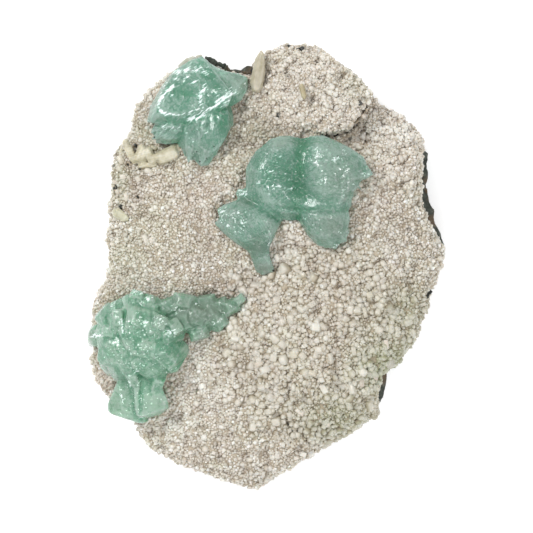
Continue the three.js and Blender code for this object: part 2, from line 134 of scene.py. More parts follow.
def remeshed(piece, cell):
    """Rebuilds a piece from cubes of one size, which gives it even faces all round."""
    shape(piece, "REMESH", mode="VOXEL", voxel_size=cell, use_smooth_shade=True)


def relief_texture(name, kind, size, **settings):
    """A procedural pattern for the Displace modifier, with features of about that size."""
    texture = bpy.data.textures.new(name, kind)
    texture.noise_scale = size
    for setting, value in settings.items():
        setattr(texture, setting, value)
    return texture


def triangles(piece):
    return sum(len(face.vertices) - 2 for face in piece.data.polygons)


def distance_to_line(places, line):
    """How far each place (an array of x and y) is from a line through some points."""
    nearest = np.full(len(places), np.inf)
    for start, end in zip(line, line[1:]):
        start, step = np.array(start, float), np.subtract(end, start).astype(float)
        share = np.clip(((places - start) @ step) / (step @ step), 0, 1)
        nearest = np.minimum(nearest, np.hypot(*(places - start - share[:, None] * step).T))
    return nearest


def press(piece, line, width, depth):
    """Presses a soft groove down into a piece along a line, or raises a ridge if depth is negative.
    Only faces that look up are moved."""
    places = points_of(piece)[:, :2] / MM
    near = np.exp(-((distance_to_line(places, line) / width) ** 2))
    near *= smoothstep(0.0, 0.5, normals_of(piece)[:, 2])
    weigh(piece, "groove", near)
    shape(piece, "DISPLACE", direction="Z", strength=-depth * MM, mid_level=0, vertex_group="groove")
    piece.vertex_groups.remove(piece.vertex_groups["groove"])


CUTTER_HEIGHT = 120.0


def cut_beyond(piece, line, reach=8.0):
    """Cuts away everything to the left of a line through some points, as seen from above."""
    for start, end in zip(line, line[1:]):
        step = Vector(end) - Vector(start)
        aside = Vector((-step.y, step.x)).normalized() * reach / 2
        middle = (Vector(start) + Vector(end)) / 2 + aside
        bpy.ops.object.select_all(action="DESELECT")
        bpy.ops.mesh.primitive_cube_add(
            size=1, location=(middle.x * MM, middle.y * MM, 0), rotation=(0, 0, math.atan2(step.y, step.x)),
            scale=((step.length + 0.4) * MM, reach * MM, CUTTER_HEIGHT * MM),
        )
        cutter = bpy.context.object
        shape(piece, "BOOLEAN", operation="DIFFERENCE", solver="EXACT", object=cutter)
        bpy.data.objects.remove(cutter)


def slope_off(piece, start, end, fall=1.4, reach=3.0):
    """Lets a piece fall away to the left of a line, as a bevel, by so many millimetres for each one."""
    places = points_of(piece)[:, :2] / MM
    start, step = Vector(start), Vector(end) - Vector(start)
    length = step.length
    step.normalize()
    across = (places - start) @ (-step.y, step.x)
    along = (places - start) @ (step.x, step.y)
    beside = smoothstep(-1.0, 0.0, along) * smoothstep(length + 1.0, length, along)
    weigh(piece, "slope", np.clip(across / reach, 0, 1) * beside)
    shape(piece, "DISPLACE", direction="Z", strength=-fall * reach * MM, mid_level=0, vertex_group="slope")
    piece.vertex_groups.remove(piece.vertex_groups["slope"])


def pointed_tip(root, point, width, thickness, height):
    """A flat pointed leaf between two places on the plate, its middle plane at a height."""
    step = Vector(point) - Vector(root)
    middle = (Vector(point) + Vector(root)) / 2
    bpy.ops.object.select_all(action="DESELECT")
    bpy.ops.mesh.primitive_cone_add(
        vertices=4, radius1=0.5, depth=1, location=(middle.x * MM, middle.y * MM, height),
        rotation=(0, math.pi / 2, math.atan2(step.y, step.x)),
        scale=(thickness * MM, width * MM, step.length * MM),
    )
    return bpy.context.object


def fill_seams(piece, reach, cell):
    """Fills narrow clefts and keeps outer edges: the skin is blown out, rebuilt and drawn in again."""
    shape(piece, "DISPLACE", strength=reach, mid_level=0)
    remeshed(piece, cell)
    shape(piece, "DISPLACE", strength=-reach, mid_level=0)
    remeshed(piece, cell)


# %% [markdown]
# ## Measuring the surface
# Grains, colour and clearness follow the form: seams between crystals are painted deeper green, partly as
# shade, edges are pale, and no grain grows under a crystal. Such masks are kept as attributes with one
# number for each point of the mesh, so that both Geometry Nodes and materials can read them.


# %% Helpers that measure a mesh
def read(items, name, width=1, kind=np.float32):
    """One value of many points, faces or corners as an array, a row each if it has several numbers."""
    flat = np.empty(len(items) * width, kind)
    items.foreach_get(name, flat)
    return flat.reshape(-1, width) if width > 1 else flat


def points_of(piece):
    return read(piece.data.vertices, "co", 3)


def normals_of(piece):
    return read(piece.data.vertex_normals, "vector", 3)


def neighbour_mean(piece, values, rounds):
    """Values of the points, each averaged with its neighbours' again and again."""
    a, b = read(piece.data.edges, "vertices", 2, np.int32).T
    count = len(values)
    share = 1.0 + np.bincount(a, minlength=count) + np.bincount(b, minlength=count)
    columns = values.reshape(count, -1).astype(np.float64)
    for _ in range(rounds):
        for k in range(columns.shape[1]):
            column = columns[:, k]
            total = column + np.bincount(a, column[b], count) + np.bincount(b, column[a], count)
            columns[:, k] = total / share
    return columns.reshape(values.shape)


def hollow_depth(piece, rounds):
    """How deep each point lies below its wider surroundings, in metres, negative where it stands out."""
    points = points_of(piece).astype(np.float64)
    return ((neighbour_mean(piece, points, rounds) - points) * normals_of(piece)).sum(1)


def keep_mask(piece, name, values):
    """Keeps one number for each point of a piece under a name."""
    mask = piece.data.attributes.get(name) or piece.data.attributes.new(name, "FLOAT", "POINT")
    mask.data.foreach_set("value", np.clip(values, 0, 1).astype(np.float32))


WEIGHT_STEPS = 20


def weigh(piece, name, values):
    """Keeps such numbers as a vertex group, which is what modifiers read, in steps of a twentieth."""
    group = piece.vertex_groups.new(name=name)
    levels = np.round(np.clip(values, 0, 1) * WEIGHT_STEPS).astype(int)
    for level in range(1, WEIGHT_STEPS + 1):
        members = np.flatnonzero(levels == level).tolist()
        if members:
            group.add(members, level / WEIGHT_STEPS, "REPLACE")


def smoothstep(low, high, values):
    share = np.clip((values - low) / (high - low), 0, 1)
    return share * share * (3 - 2 * share)


def away_from(oval, x, y):
    """How far places are from the middle of an oval (x, y, reach along x and along y), 1 on its line."""
    return np.hypot((x - oval[0]) / oval[2], (y - oval[1]) / oval[3])


def soft_marks(piece, marks):
    """The strongest of some soft marks at each point of a piece, in millimetres. A mark is an oval spot,
    (x, y, reach along x, reach along y, strength), or a line, (its points, width, strength)."""
    places = points_of(piece)[:, :2] / MM
    strongest = np.zeros(len(places))
    for mark in marks:
        if len(mark) == 5:
            away = away_from(mark, *places.T)
        else:
            away = distance_to_line(places, mark[0]) / mark[1]
        strongest = np.maximum(strongest, mark[-1] * np.exp(-(away**2)))
    return strongest


def flakes(piece, marks, length, width, turn):
    """Where painted glints and highlights show, as silver flakes: soft marks, broken up by noise that is
    drawn out along one heading.
    """
    places = points_of(piece)[:, :2] / MM
    share = soft_marks(piece, marks)
    heading = math.radians(turn)
    along = places @ (math.cos(heading), math.sin(heading)) / length
    across = places @ (-math.sin(heading), math.cos(heading)) / width
    for index in np.flatnonzero(share > 0.1):
        spot = Vector((along[index], across[index], 0))
        share[index] += 0.8 * noise.noise(spot) + 0.5 * noise.noise(2.1 * spot)
    return smoothstep(0.58, 0.95, share)


def top_of(piece, x, y):
    """Height of a piece at a place on the plate, looking straight down."""
    hit, place, _, _ = piece.ray_cast(Vector((x * MM, y * MM, 0.1)), Vector((0, 0, -1)))
    return place.z if hit else 0.0


# %% [markdown]
# ## Wiring nodes
# All finishes are node trees. Written out node by node, a tree is long and hides what it does. So two small
# classes add a node, give each of its sockets a constant or a link, and hand on its output, and a finish
# then reads as a list of its layers.


# %% Helpers for materials
class Wiring:
    """A node tree under construction. What is given for a socket is a source to link or a constant."""

    def __init__(self, tree):
        self.tree = tree

    def feed(self, value, socket):
        if isinstance(value, bpy.types.NodeSocket):
            self.tree.links.new(value, socket)
        elif socket.type == "RGBA":
            socket.default_value = (*value, 1)
        else:
            socket.default_value = value

    def settle(self, made, **settings):
        """Sets a node: a setting names a socket, or else a property."""
        for name, value in settings.items():
            label = name.replace("_", " ")
            if label in made.inputs:
                self.feed(value, made.inputs[label])
            else:
                setattr(made, name, value)

    def add(self, kind, *values, **settings):
        """Adds a node with settings, and feeds values to its sockets in their order."""
        made = self.tree.nodes.new(kind)
        self.settle(made, **settings)
        for value, socket in zip(values, made.inputs):
            self.feed(value, socket)
        return made

    def maths(self, operation, *values):
        return self.add("ShaderNodeMath", *values, operation=operation).outputs[0]

    def vectors(self, operation, *values, result="Vector"):
        return self.add("ShaderNodeVectorMath", *values, operation=operation).outputs[result]


class Finish(Wiring):
    """A material under construction: its shader and short ways to make and mix masks and tones."""

    def __init__(self, name, **shader_values):
        self.material = bpy.data.materials.new(name)
        self.material.use_nodes = True
        super().__init__(self.material.node_tree)
        self.shader = self.tree.nodes["Principled BSDF"]
        self.settle(self.shader, **shader_values)

    def group(self, tree, **values):
        placed = self.add("ShaderNodeGroup", node_tree=tree)
        self.settle(placed, **values)
        return placed.outputs[0]

    def ramp(self, source, *stops):
        """A colour ramp; stops are (position, colour), or (position, grey value)."""
        made = self.add("ShaderNodeValToRGB", source)
        elements = made.color_ramp.elements
        while len(elements) < len(stops):
            elements.new(0.5)
        for element, (position, tone) in zip(elements, stops):
            element.position = position
            element.color = (*tone, 1) if isinstance(tone, tuple) else (tone, tone, tone, 1)
        return made.outputs["Color"]

    def mask(self, name):
        return self.add("ShaderNodeAttribute", attribute_name=name).outputs["Fac"]

    def mix(self, share, first, second):
        made = self.add("ShaderNodeMix", share, data_type="RGBA")
        self.feed(first, made.inputs[6])
        self.feed(second, made.inputs[7])
        return made.outputs[2]

    def bump(self, height, strength, depth, **under):
        """A bump of a height pattern, over another one where Normal is given."""
        made = self.add("ShaderNodeBump", Strength=strength, Distance=depth, Height=height, **under)
        return made.outputs[0]

    def wear(self, **sources):
        """Joins finished values to the shader's sockets, and gives back the material."""
        self.settle(self.shader, **sources)
        return self.material


# %% [markdown]
# ## Shader groups
# Minerals share three effects. *Mottle* is the cloudy change of tone in a natural solid. *Growth lines* are
# the fine steps that run along a crystal. *Facets* tilts small patches of a face each its own way, which is
# what makes it sparkle. Each is a node group with named inputs that a material sets for itself.


# %% The three effects as groups
def shader_group(name, output, **inputs):
    """An empty group with named numbers: its wiring, what it is given, and the socket of its output."""
    tree = bpy.data.node_groups.new(name, "ShaderNodeTree")
    for label, value in inputs.items():
        tree.interface.new_socket(label, in_out="INPUT", socket_type="NodeSocketFloat").default_value = value
    tree.interface.new_socket(output, in_out="OUTPUT", socket_type="NodeSocketFloat")
    wiring = Wiring(tree)
    return wiring, wiring.add("NodeGroupInput").outputs, wiring.add("NodeGroupOutput").inputs[0]


def mottle_group():
    group, given, end = shader_group("mottle", "Tone", Size=300.0, Detail=4.0, Seed=0.0)
    place = group.add("ShaderNodeTexCoord").outputs["Object"]
    cloud = group.add(
        "ShaderNodeTexNoise", noise_dimensions="4D", Vector=place, Scale=given["Size"],
        Detail=given["Detail"], W=given["Seed"], Roughness=0.6,
    ).outputs["Fac"]
    stretched = group.add("ShaderNodeMapRange", cloud, From_Min=0.28, From_Max=0.72)
    group.feed(stretched.outputs["Result"], end)
    return group.tree


def growth_lines_group():
    group, given, end = shader_group("growth_lines", "Height", Across=60.0, Along=4.0, Seed=0.0)
    rays = group.add("ShaderNodeUVMap", uv_map="rays").outputs["UV"]
    split = group.add("ShaderNodeSeparateXYZ", rays).outputs
    wide = group.maths("MULTIPLY", split["X"], given["Across"])
    long = group.maths("MULTIPLY", split["Y"], given["Along"])
    place = group.add("ShaderNodeCombineXYZ", wide, long, given["Seed"]).outputs[0]
    lines = group.add("ShaderNodeTexNoise", Vector=place, Scale=1.0, Detail=3.0, Roughness=0.62)
    group.feed(lines.outputs["Fac"], end)
    return group.tree


def facets_group():
    """Height that falls to a side of its own in each cell, so that a bump makes tilted facets of them."""
    group, given, end = shader_group("facets", "Height", Across=4.0, Along=30.0, Seed=0.0)
    rays = group.add("ShaderNodeUVMap", uv_map="rays").outputs["UV"]
    size = group.add("ShaderNodeCombineXYZ", given["Across"], given["Along"]).outputs[0]
    shift = group.add("ShaderNodeCombineXYZ", Z=given["Seed"]).outputs[0]
    place = group.vectors("ADD", group.vectors("MULTIPLY", rays, size), shift)
    cells = group.add("ShaderNodeTexVoronoi", feature="F1", Vector=place, Scale=1.0, Randomness=0.9).outputs
    tilt = group.vectors("SUBTRACT", cells["Color"], (0.5, 0.5, 0.5))
    inside = group.vectors("SUBTRACT", place, cells["Position"])
    group.feed(group.vectors("DOT_PRODUCT", tilt, inside, result="Value"), end)
    return group.tree


MOTTLE, GROWTH_LINES, FACETS = mottle_group(), growth_lines_group(), facets_group()
print("shader groups:", [group.name for group in (MOTTLE, GROWTH_LINES, FACETS)])

# %% [markdown]
# ## Table and light
# The plate lies on a near-white table under a wide soft light, so that its shadow almost goes. A brighter
# panel at the upper left shapes the relief, and two small panels overhead put the sharp white glints on
# crystal faces that are almost level.

# %% Table and light
TABLE_SIDE = 4.0
TABLE_COLOUR = (0.94, 0.94, 0.94)
TABLE_GLOW = 0.42
ROOM_COLOUR = (0.97, 0.985, 1.0, 1)
ROOM_LIGHT = 0.52
PANELS = {  # place in metres, width, length and watts
    "window_panel": ((-0.60, 0.55, 0.85), 0.36, 0.36, 6.9),
    "front_panel": ((0.05, -0.72, 0.78), 0.90, 0.36, 2.6),
    "side_panel": ((0.62, -0.36, 0.80), 0.10, 0.34, 1.8),
    "glint_panel_left": ((-0.36, 0.08, 0.95), 0.09, 0.09, 0.7),
    "glint_panel_right": ((0.40, 0.22, 0.90), 0.09, 0.09, 0.6),
}

bpy.ops.mesh.primitive_plane_add(size=TABLE_SIDE, location=(0, 0, 0))
table = bpy.context.object
table.name = "table"
paint = Finish(
    "table_paint", Base_Color=TABLE_COLOUR, Roughness=1.0, Specular_IOR_Level=0.0,
    Emission_Color=TABLE_COLOUR, Emission_Strength=TABLE_GLOW,
)
table.data.materials.append(paint.material)

for name, (place, width, length, watts) in PANELS.items():
    to_middle = Vector((0, 0, MIDDLE_HEIGHT)) - Vector(place)
    turn = to_middle.to_track_quat("-Z", "Y").to_euler()
    bpy.ops.object.light_add(type="AREA", location=place, rotation=turn)
    panel = bpy.context.object
    panel.name = name
    panel.data.shape = "RECTANGLE"
    panel.data.size = width
    panel.data.size_y = length
    panel.data.energy = watts

world = bpy.context.scene.world or bpy.data.worlds.new("room")
bpy.context.scene.world = world
world.use_nodes = True
world.node_tree.nodes["Background"].inputs["Color"].default_value = ROOM_COLOUR
world.node_tree.nodes["Background"].inputs["Strength"].default_value = ROOM_LIGHT
bpy.context.scene.view_settings.view_transform = "Standard"
print("light panels:", len(PANELS), "with", round(sum(panel[3] for panel in PANELS.values()), 1), "watts")

# %% [markdown]
# ## Basalt
# The plate's back is fresh grey-green basalt, fine-grained, with hackly breaks and a few small gas holes.
# Remeshing gives enough points, and two Displace modifiers add the broken facets and the rough grain. The
# face that it rests on stays flat.

# %% Basalt form
BASALT_CELL = 1.0 * MM
BASALT_FACETS = 7 * MM
BASALT_RELIEF = 1.6 * MM
REST_HEIGHT = 1.5 * MM  # up to here nothing moves, so that the plate still lies flat
BARE_RIMS = [  # where a rim of basalt shows: behind the cap crystal, at the lower right and at the right
    ([(-27, 68.4), (-20.6, 69.8), (-13.2, 67), (-5.4, 65.2)], 1.8, 1),
    ([(38.8, -36), (38.4, -40), (37.6, -43)], 1.2, 0.6), ([(52.8, 37.5), (53, 33), (52.6, 29)], 1.2, 0.55),
]
RIM_REACH = 1.9 * MM
RIM_CHIPS = [  # x, y and size of the splinters of the rim behind the cap crystal
    (-19.8, 69.1, 1.4), (-18.9, 68.8, 1.6), (-18, 68.2, 1.6), (-17, 67.6, 1.4), (-16, 67.4, 1.2),
    (-15.1, 67.2, 1.3), (-14.2, 66.7, 1.4), (-13.4, 66.1, 1.4), (-12.6, 65.4, 1.2), (-11.7, 64.9, 1.1),
    (-10.8, 64.8, 0.8), (-9.8, 64.8, 0.7), (-8.9, 64.8, 0.8), (-8.1, 64.6, 0.7), (-7.1, 64.5, 0.8),
    (-6.2, 64.4, 0.6), (-5.3, 64.4, 0.9),
]
RIM_HEIGHT = 15.0

basalt = copy_of("basalt_matrix", "basalt")
remeshed(basalt, BASALT_CELL)
weigh(basalt, "above_rest", smoothstep(REST_HEIGHT, 3 * REST_HEIGHT, points_of(basalt)[:, 2]))
shape(
    basalt, "DISPLACE", texture=relief_texture("basalt_facets", "VORONOI", BASALT_FACETS),
    strength=BASALT_RELIEF, mid_level=0.55, vertex_group="above_rest",
)
shape(
    basalt, "DISPLACE", texture=relief_texture("basalt_grain", "CLOUDS", 1.6 * MM, noise_depth=3),
    strength=0.5 * MM, mid_level=0.5, vertex_group="above_rest",
)
weigh(basalt, "rim", soft_marks(basalt, BARE_RIMS) * smoothstep(0.5, 0.1, normals_of(basalt)[:, 2]))
shape(basalt, "DISPLACE", strength=RIM_REACH, mid_level=0, vertex_group="rim")
rim_chance = np.random.default_rng(3)
chips = []
for x, y, size in RIM_CHIPS:
    bpy.ops.object.select_all(action="DESELECT")
    bpy.ops.mesh.primitive_ico_sphere_add(
        subdivisions=2, radius=size / 2 * MM, location=(x * MM, y * MM, RIM_HEIGHT * MM),
        rotation=rim_chance.uniform(0, 3, 3).tolist(), scale=(1.3, 0.9, 1.6),
    )
    chips.append(bpy.context.object)
only(*chips, basalt)
bpy.ops.object.join()
print("basalt:", triangles(basalt), "triangles")

# %% [markdown]
# A fresh break of basalt is nearly black, with paler grains and some rust where water got in. A picture of
# rock would show its edges and its repeats. A noise pattern has neither, so one fine mottle gives the tone,
# the roughness and the bump together, and a wide one says where the rust is.

# %% Basalt finish
BASALT_DARK, BASALT_GREY = (0.022, 0.026, 0.020), (0.060, 0.068, 0.054)
BASALT_PALE, RUST = (0.15, 0.155, 0.12), (0.19, 0.11, 0.055)

rock = Finish("basalt_break")
rock_tone = rock.group(MOTTLE, Size=700.0, Detail=6.0)
rock_patch = rock.group(MOTTLE, Size=90.0, Detail=3.0, Seed=4.0)
rock_colour = rock.ramp(rock_tone, (0.0, BASALT_DARK), (0.55, BASALT_GREY), (1.0, BASALT_PALE))
rust = rock.ramp(rock_patch, (0.56, 0.0), (0.78, 1.0))
rock_colour = rock.mix(rock.maths("MULTIPLY", rust, 0.5), rock_colour, RUST)
rock_rough = rock.ramp(rock_tone, (0.0, 0.95), (1.0, 0.6))
rock_bump = rock.bump(rock_tone, 0.5, 0.5 * MM)
basalt.data.materials.append(rock.wear(Base_Color=rock_colour, Roughness=rock_rough, Normal=rock_bump))

# %% [markdown]
# ## Druse: the crust under the grains
# The druse is a skin of tiny crystals, four to six millimetres thick. First comes the crust that they stand
# on. It is drawn in a little, so that the grains' tips come out where the solid's surface is, and it gets
# knobs: the druse grew in small rounded heaps. Underneath it laps onto the basalt.

# %% Crust form
CRUST_CELL = 0.66 * MM
GRAIN_ROOM = 0.5 * MM  # how far the crust is drawn in under its grains
KNOB_SIZE = 2.4 * MM
KNOB_RELIEF = 2.6 * MM
HEAP_SIZE = 5.5 * MM
HEAP_RELIEF = 1.8 * MM
LEDGE_CRACK = [
    (17.5, 43.4), (20.7, 43.3), (25.1, 44), (28.3, 45.8), (30, 47.6), (30.9, 50.1), (33.4, 53.3),
]
CRACK_WIDTH = 0.65  # millimetres from its middle
CRACK_DEPTH = 3.5
MOUND_CRACK = [(2.8, -48.7), (6.2, -51), (8.4, -53.6), (12, -55.6), (14.4, -58.2)]
ROUND_GROWTH = (26, 50, 34, 28)  # x, y and reach of the upper lobe, which grew in rounded knobs

crust = copy_of("druse_crust", "druse_crust_base")
remeshed(crust, CRUST_CELL)
shape(crust, "SMOOTH", factor=0.5, iterations=5)
x, y, z = (points_of(crust) / MM).T
outward = normals_of(crust)[:, 2]
bare = soft_marks(crust, BARE_RIMS)
rounded = smoothstep(1.2, 0.8, away_from(ROUND_GROWTH, x, y))
open_side = smoothstep(-0.5, -0.1, outward)
weigh(crust, "open_side", open_side)
weigh(crust, "knobby", open_side * (0.5 + 0.5 * rounded))
weigh(crust, "seat_side", smoothstep(0.5, 0.9, -outward) * (z > 2))
weigh(crust, "bare_rim", bare * open_side)
weigh(crust, "room_side", smoothstep(0.2, 0.7, outward))
shape(crust, "DISPLACE", strength=-GRAIN_ROOM, mid_level=0, vertex_group="room_side")
shape(crust, "DISPLACE", strength=-1.5 * MM, mid_level=0, vertex_group="bare_rim")
shape(crust, "DISPLACE", strength=0.45 * MM, mid_level=0, vertex_group="seat_side")
for name, size, relief, group in (
    ("druse_heaps", HEAP_SIZE, HEAP_RELIEF, "open_side"), ("druse_knobs", KNOB_SIZE, KNOB_RELIEF, "knobby"),
):
    cells = relief_texture(name, "VORONOI", size, distance_metric="DISTANCE_SQUARED")
    shape(crust, "DISPLACE", texture=cells, strength=-relief, mid_level=0.2, vertex_group=group)
press(crust, LEDGE_CRACK, CRACK_WIDTH, CRACK_DEPTH)
press(crust, MOUND_CRACK, CRACK_WIDTH, 1.5)
print("crust:", triangles(crust), "triangles")

# %% [markdown]
# The druse isn't the same all over. It is fine as sugar at the left, knobby on the upper lobe, and coarse
# and blocky on the wide lower mound. Masks say how coarse it is, where crystals cover it, found by
# looking straight up from each point, where it lies deep between its heaps and down in its cracks, which
# the finish darkens as painted shade, and where it is stained brown or olive.

# %% Where the grains grow
COARSE_GROWTH = (17, -26, 36, 36)  # x, y and reach of the lower mound
COVER_HEIGHT = 30 * MM
COVER_GAP = 2.5 * MM  # under a crystal that hangs higher than this the druse still grows
TRIMMED = [  # where the finished crystals leave a little of the druse bare that their solids cover
    ([(-11, 44), (-14.6, 38.6), (-17.6, 34.4)], 2, 1), ([(-28.6, 38), (-27, 34), (-24.2, 33.6)], 1.2, 1),
    ([(4.6, 11), (2.8, 5.5), (3.4, 1)], 2, 1), ([(32.4, 27.4), (30, 22), (29, 10)], 2, 1),
]


def lies_covered(point, trees):
    """Whether a point is inside one of these solids or close under it."""
    start = Vector(point) - Vector((0, 0, MM))
    for tree in trees:
        place, facing, _, distance = tree.ray_cast(start, Vector((0, 0, 1)), COVER_HEIGHT)
        if place and (facing.z > 0 or distance < COVER_GAP):
            return 1.0
    return 0.0


crystal_trees = []
for name in SOLIDS:
    if name.startswith(("apophyllite", "stilbite")):
        mesh = SOLIDS[name].data
        faces = [tuple(face.vertices) for face in mesh.polygons]
        crystal_trees.append(BVHTree.FromPolygons([vertex.co for vertex in mesh.vertices], faces))
covered = np.array([lies_covered(point, crystal_trees) for point in points_of(crust)])
covered = neighbour_mean(crust, covered, 1) * (soft_marks(crust, TRIMMED) < 0.4)
x, y, _ = (points_of(crust) / MM).T
outward = normals_of(crust)[:, 2]
patches = np.sin(0.31 * x + 1.7 * np.sin(0.23 * y)) * np.sin(0.27 * y + 1.3 * np.sin(0.19 * x))
coarse = smoothstep(1.15, 0.75, away_from(COARSE_GROWTH, x, y) + 0.12 * patches)
in_crack = soft_marks(crust, [(LEDGE_CRACK, CRACK_WIDTH, 1.0), (MOUND_CRACK, CRACK_WIDTH, 0.6)])
bare = soft_marks(crust, BARE_RIMS)
open_share = smoothstep(-0.45, -0.15, outward) * (covered < 0.9) * (in_crack < 0.5) * (bare < 0.3)
rounded = smoothstep(1.2, 0.8, away_from(ROUND_GROWTH, x, y))
keep_mask(crust, "coarse", coarse)
keep_mask(crust, "calm", rounded * (1 - coarse))
# painted shade: how dark the feet of the grains are painted where the clefts are open
keep_mask(crust, "open_clefts", np.maximum(coarse, 0.8 * (1 - rounded)))
# painted shadow: near-black in the cracks under the ledge and in the lower mound; at the bare rims the
# basalt's own black
keep_mask(crust, "crack", np.maximum(in_crack * smoothstep(0.0, 0.5, outward), bare))
# painted shade: how deep the crust lies between its heaps, which the finish paints browner
keep_mask(crust, "hollow", 0.5 + hollow_depth(crust, 10) / (1.2 * MM))
keep_mask(crust, "sugar_share", open_share * (1 - 0.2 * coarse))
keep_mask(crust, "nodule_share", open_share * (0.12 + 0.12 * patches + 0.3 * coarse))
keep_mask(crust, "knob_share", open_share * (0.05 + 0.08 * patches + 0.45 * rounded) * (covered < 0.05))
keep_mask(crust, "block_share", open_share * coarse * (0.5 + 0.4 * patches) * (covered < 0.05))
print("open druse:", round(float(open_share.mean()), 2), "coarse:", round(float(coarse.mean()), 2))

# %% [markdown]
# Brown tints lie beside the druse's clefts, a film makes the lower right olive, and some parts are
# whiter or duller than the rest. Much of the whiter and the duller, and some of the brown, is painted
# light and painted shade: lighter where the crystals and the ledge cast shade, darker beside the
# crystals, under the ledge and in the hollows. Noise could scatter such marks but not put them where
# they are, so each one is a soft oval, set one by one. The dark specks are bits of basalt and small
# holes whose black is painted shade, and are marked in the same way.

# %% Stains, painted light and painted shade of the druse
STAINS_AND_PAINTED_LIGHT = {  # x, y, reach along x and along y, and strength
    # brown tints, partly painted shade under the ledge, in the valleys and beside the rosette's prism
    "brown": [
        (28.5, 42, 6, 2.6, 0.5), (32.2, 48.4, 1.6, 3.4, 0.5), (1, 46.5, 7, 3.4, 0.5), (-15, -7, 9, 4, 0.7),
        (-5, -6.5, 5, 3.6, 0.6), (-29, -36, 1.6, 6, 0.4), (-14, 42, 6, 5, 0.45), (-20.5, 3, 9, 9, 0.3),
        (-45.4, 34.4, 2.2, 3, 1), (-43.8, 28, 2.4, 3, 0.9), (-43.2, 22.8, 2.2, 2.6, 1),
        (-46.4, 18.6, 2.6, 1.2, 0.9), (-43, 40, 1.8, 1.6, 0.8), (-50.2, 37, 1.2, 2.4, 0.7),
    ],
    "olive": [
        (41, -34, 12, 12, 1), (24, -50, 14, 8, 0.7), (47, -14, 8, 10, 0.6), (-2, 45, 7, 4, 0.5),
        (-46, 4, 7, 14, 0.35), (30, 60, 5, 6, 0.35), (-48, 30, 4, 10, 0.5), (-42, 45, 4, 4, 0.4),
    ],
    # painted light, partly whiter druse: lifts shade right of the rosette, at the left mound's foot, under
    # the ledge
    "whitish": [
        (-23, -28, 4, 8, 0.7), (-25, -40, 5, 8, 0.7), (-31, -51.5, 6, 4, 0.8), (-19, -46, 5, 6, 0.4),
        (-44, -3, 6, 4.5, 0.7), (-47, 12, 4, 8, 0.4), (6, 6, 5, 6, 0.4), (-8, -12.5, 4, 3.5, 0.7),
        (23, 57, 6, 5, 0.5), (36, 46, 4.5, 5, 0.9), (44, 44, 6, 6, 0.8), (34, -38, 6, 5, 0.2),
        (12, 58, 12, 9, 0.35),
    ],
    # painted shade, partly duller druse: beside the crystals, in the hollows between the mounds, along the
    # lower right
    "dull": [
        (-40, 52.5, 3.5, 4.5, 0.8), (-45, 33, 5, 6, 0.5), (-5, 51, 4, 4, 0.5), (-24, 14, 5, 6, 0.3),
        (-17, -5, 5, 3.5, 0.6), (0.5, 13, 2.5, 4, 0.5), (31, -9, 4.5, 4.5, 0.5), (-4, -30, 7, 6, 0.5),
        (10, -45, 8, 5, 0.5), (17, -54, 9, 5, 0.7), (40, 10, 6, 6, 0.5), (45, -13, 7, 9, 0.5),
        (-4, -69, 6, 3, 0.6), (56, 22, 3, 8, 0.4), (44, -30, 8, 10, 0.5), (26, -50, 9, 6, 0.4),
    ],
}
# dark bits of basalt, and small holes whose black is painted shade, as beside the bow tie's stem tip
DARK_SPECKS = [
    (11.6, 72.3, 0.9, 0.7, 1), (7.4, 73.4, 0.5, 0.4, 1), (31, 54.2, 0.6, 0.6, 0.9), (-42, 56, 1.1, 1.5, 1),
    (53.8, -9.6, 0.7, 1.4, 1), (54.4, -12.6, 0.6, 0.9, 1), (-45.3, 34.2, 0.8, 0.5, 1),
    (-41.5, 32.2, 0.6, 0.5, 1), (-51, 33, 0.6, 0.9, 1), (-50.2, 25.8, 0.7, 0.9, 1),
    (-42.7, 22.7, 0.5, 0.5, 1), (-48.2, 19.6, 0.6, 0.6, 1), (-46, 18, 0.6, 0.5, 0.8),
    (-43.2, 39.6, 0.6, 0.5, 0.9), (-49.4, 38.5, 0.6, 0.6, 0.9), (-17.8, -12, 1, 0.9, 1),
    (-1.6, -3.6, 0.5, 0.4, 0.6), (3.6, 50, 0.6, 0.9, 0.8), (-4.2, 49.2, 0.5, 0.5, 0.7),
    (27.6, 42.2, 0.6, 0.5, 0.9), (-34.6, 50, 0.5, 0.6, 0.7), (28.2, -17, 0.4, 0.5, 0.6),
]
for name, marks in STAINS_AND_PAINTED_LIGHT.items():
    keep_mask(crust, name, soft_marks(crust, marks))
keep_mask(crust, "speck", soft_marks(crust, DARK_SPECKS) * smoothstep(0.0, 0.4, outward))
print("stained brown:", round(float(soft_marks(crust, STAINS_AND_PAINTED_LIGHT["brown"]).mean()), 3))

# %% [markdown]
# ## Druse: the grains
# A grain is a tiny crystal. Most are so blunt that they look like pearls, and some still have flat faces. A
# few shapes are modelled by hand: pearls and a block for the sugar, rounder nodules, and blocks with worn
# edges. Geometry Nodes then strews copies of them over the crust, each one turned, sized and toned by
# chance, and makes them real mesh. A grain has about twenty triangles because there are tens of thousands
# of them.


# %% Grains to copy
def select_top(grain):
    """Opens a grain for editing with its top face selected."""
    for face in grain.data.polygons:
        face.select = face.normal.z > 0.9
    for part in (*grain.data.edges, *grain.data.vertices):
        part.select = False
    bpy.ops.object.mode_set(mode="EDIT")
    bpy.ops.mesh.select_mode(type="FACE")


def finish_grain(grain, size, foot, tip):
    """Sizes a grain, and keeps how far each point rises between two shares of its height."""
    grain.scale = size
    bpy.ops.object.transform_apply(location=True, rotation=True, scale=True)
    keep_mask(grain, "rise", smoothstep(foot, tip, points_of(grain)[:, 2]))
    return grain


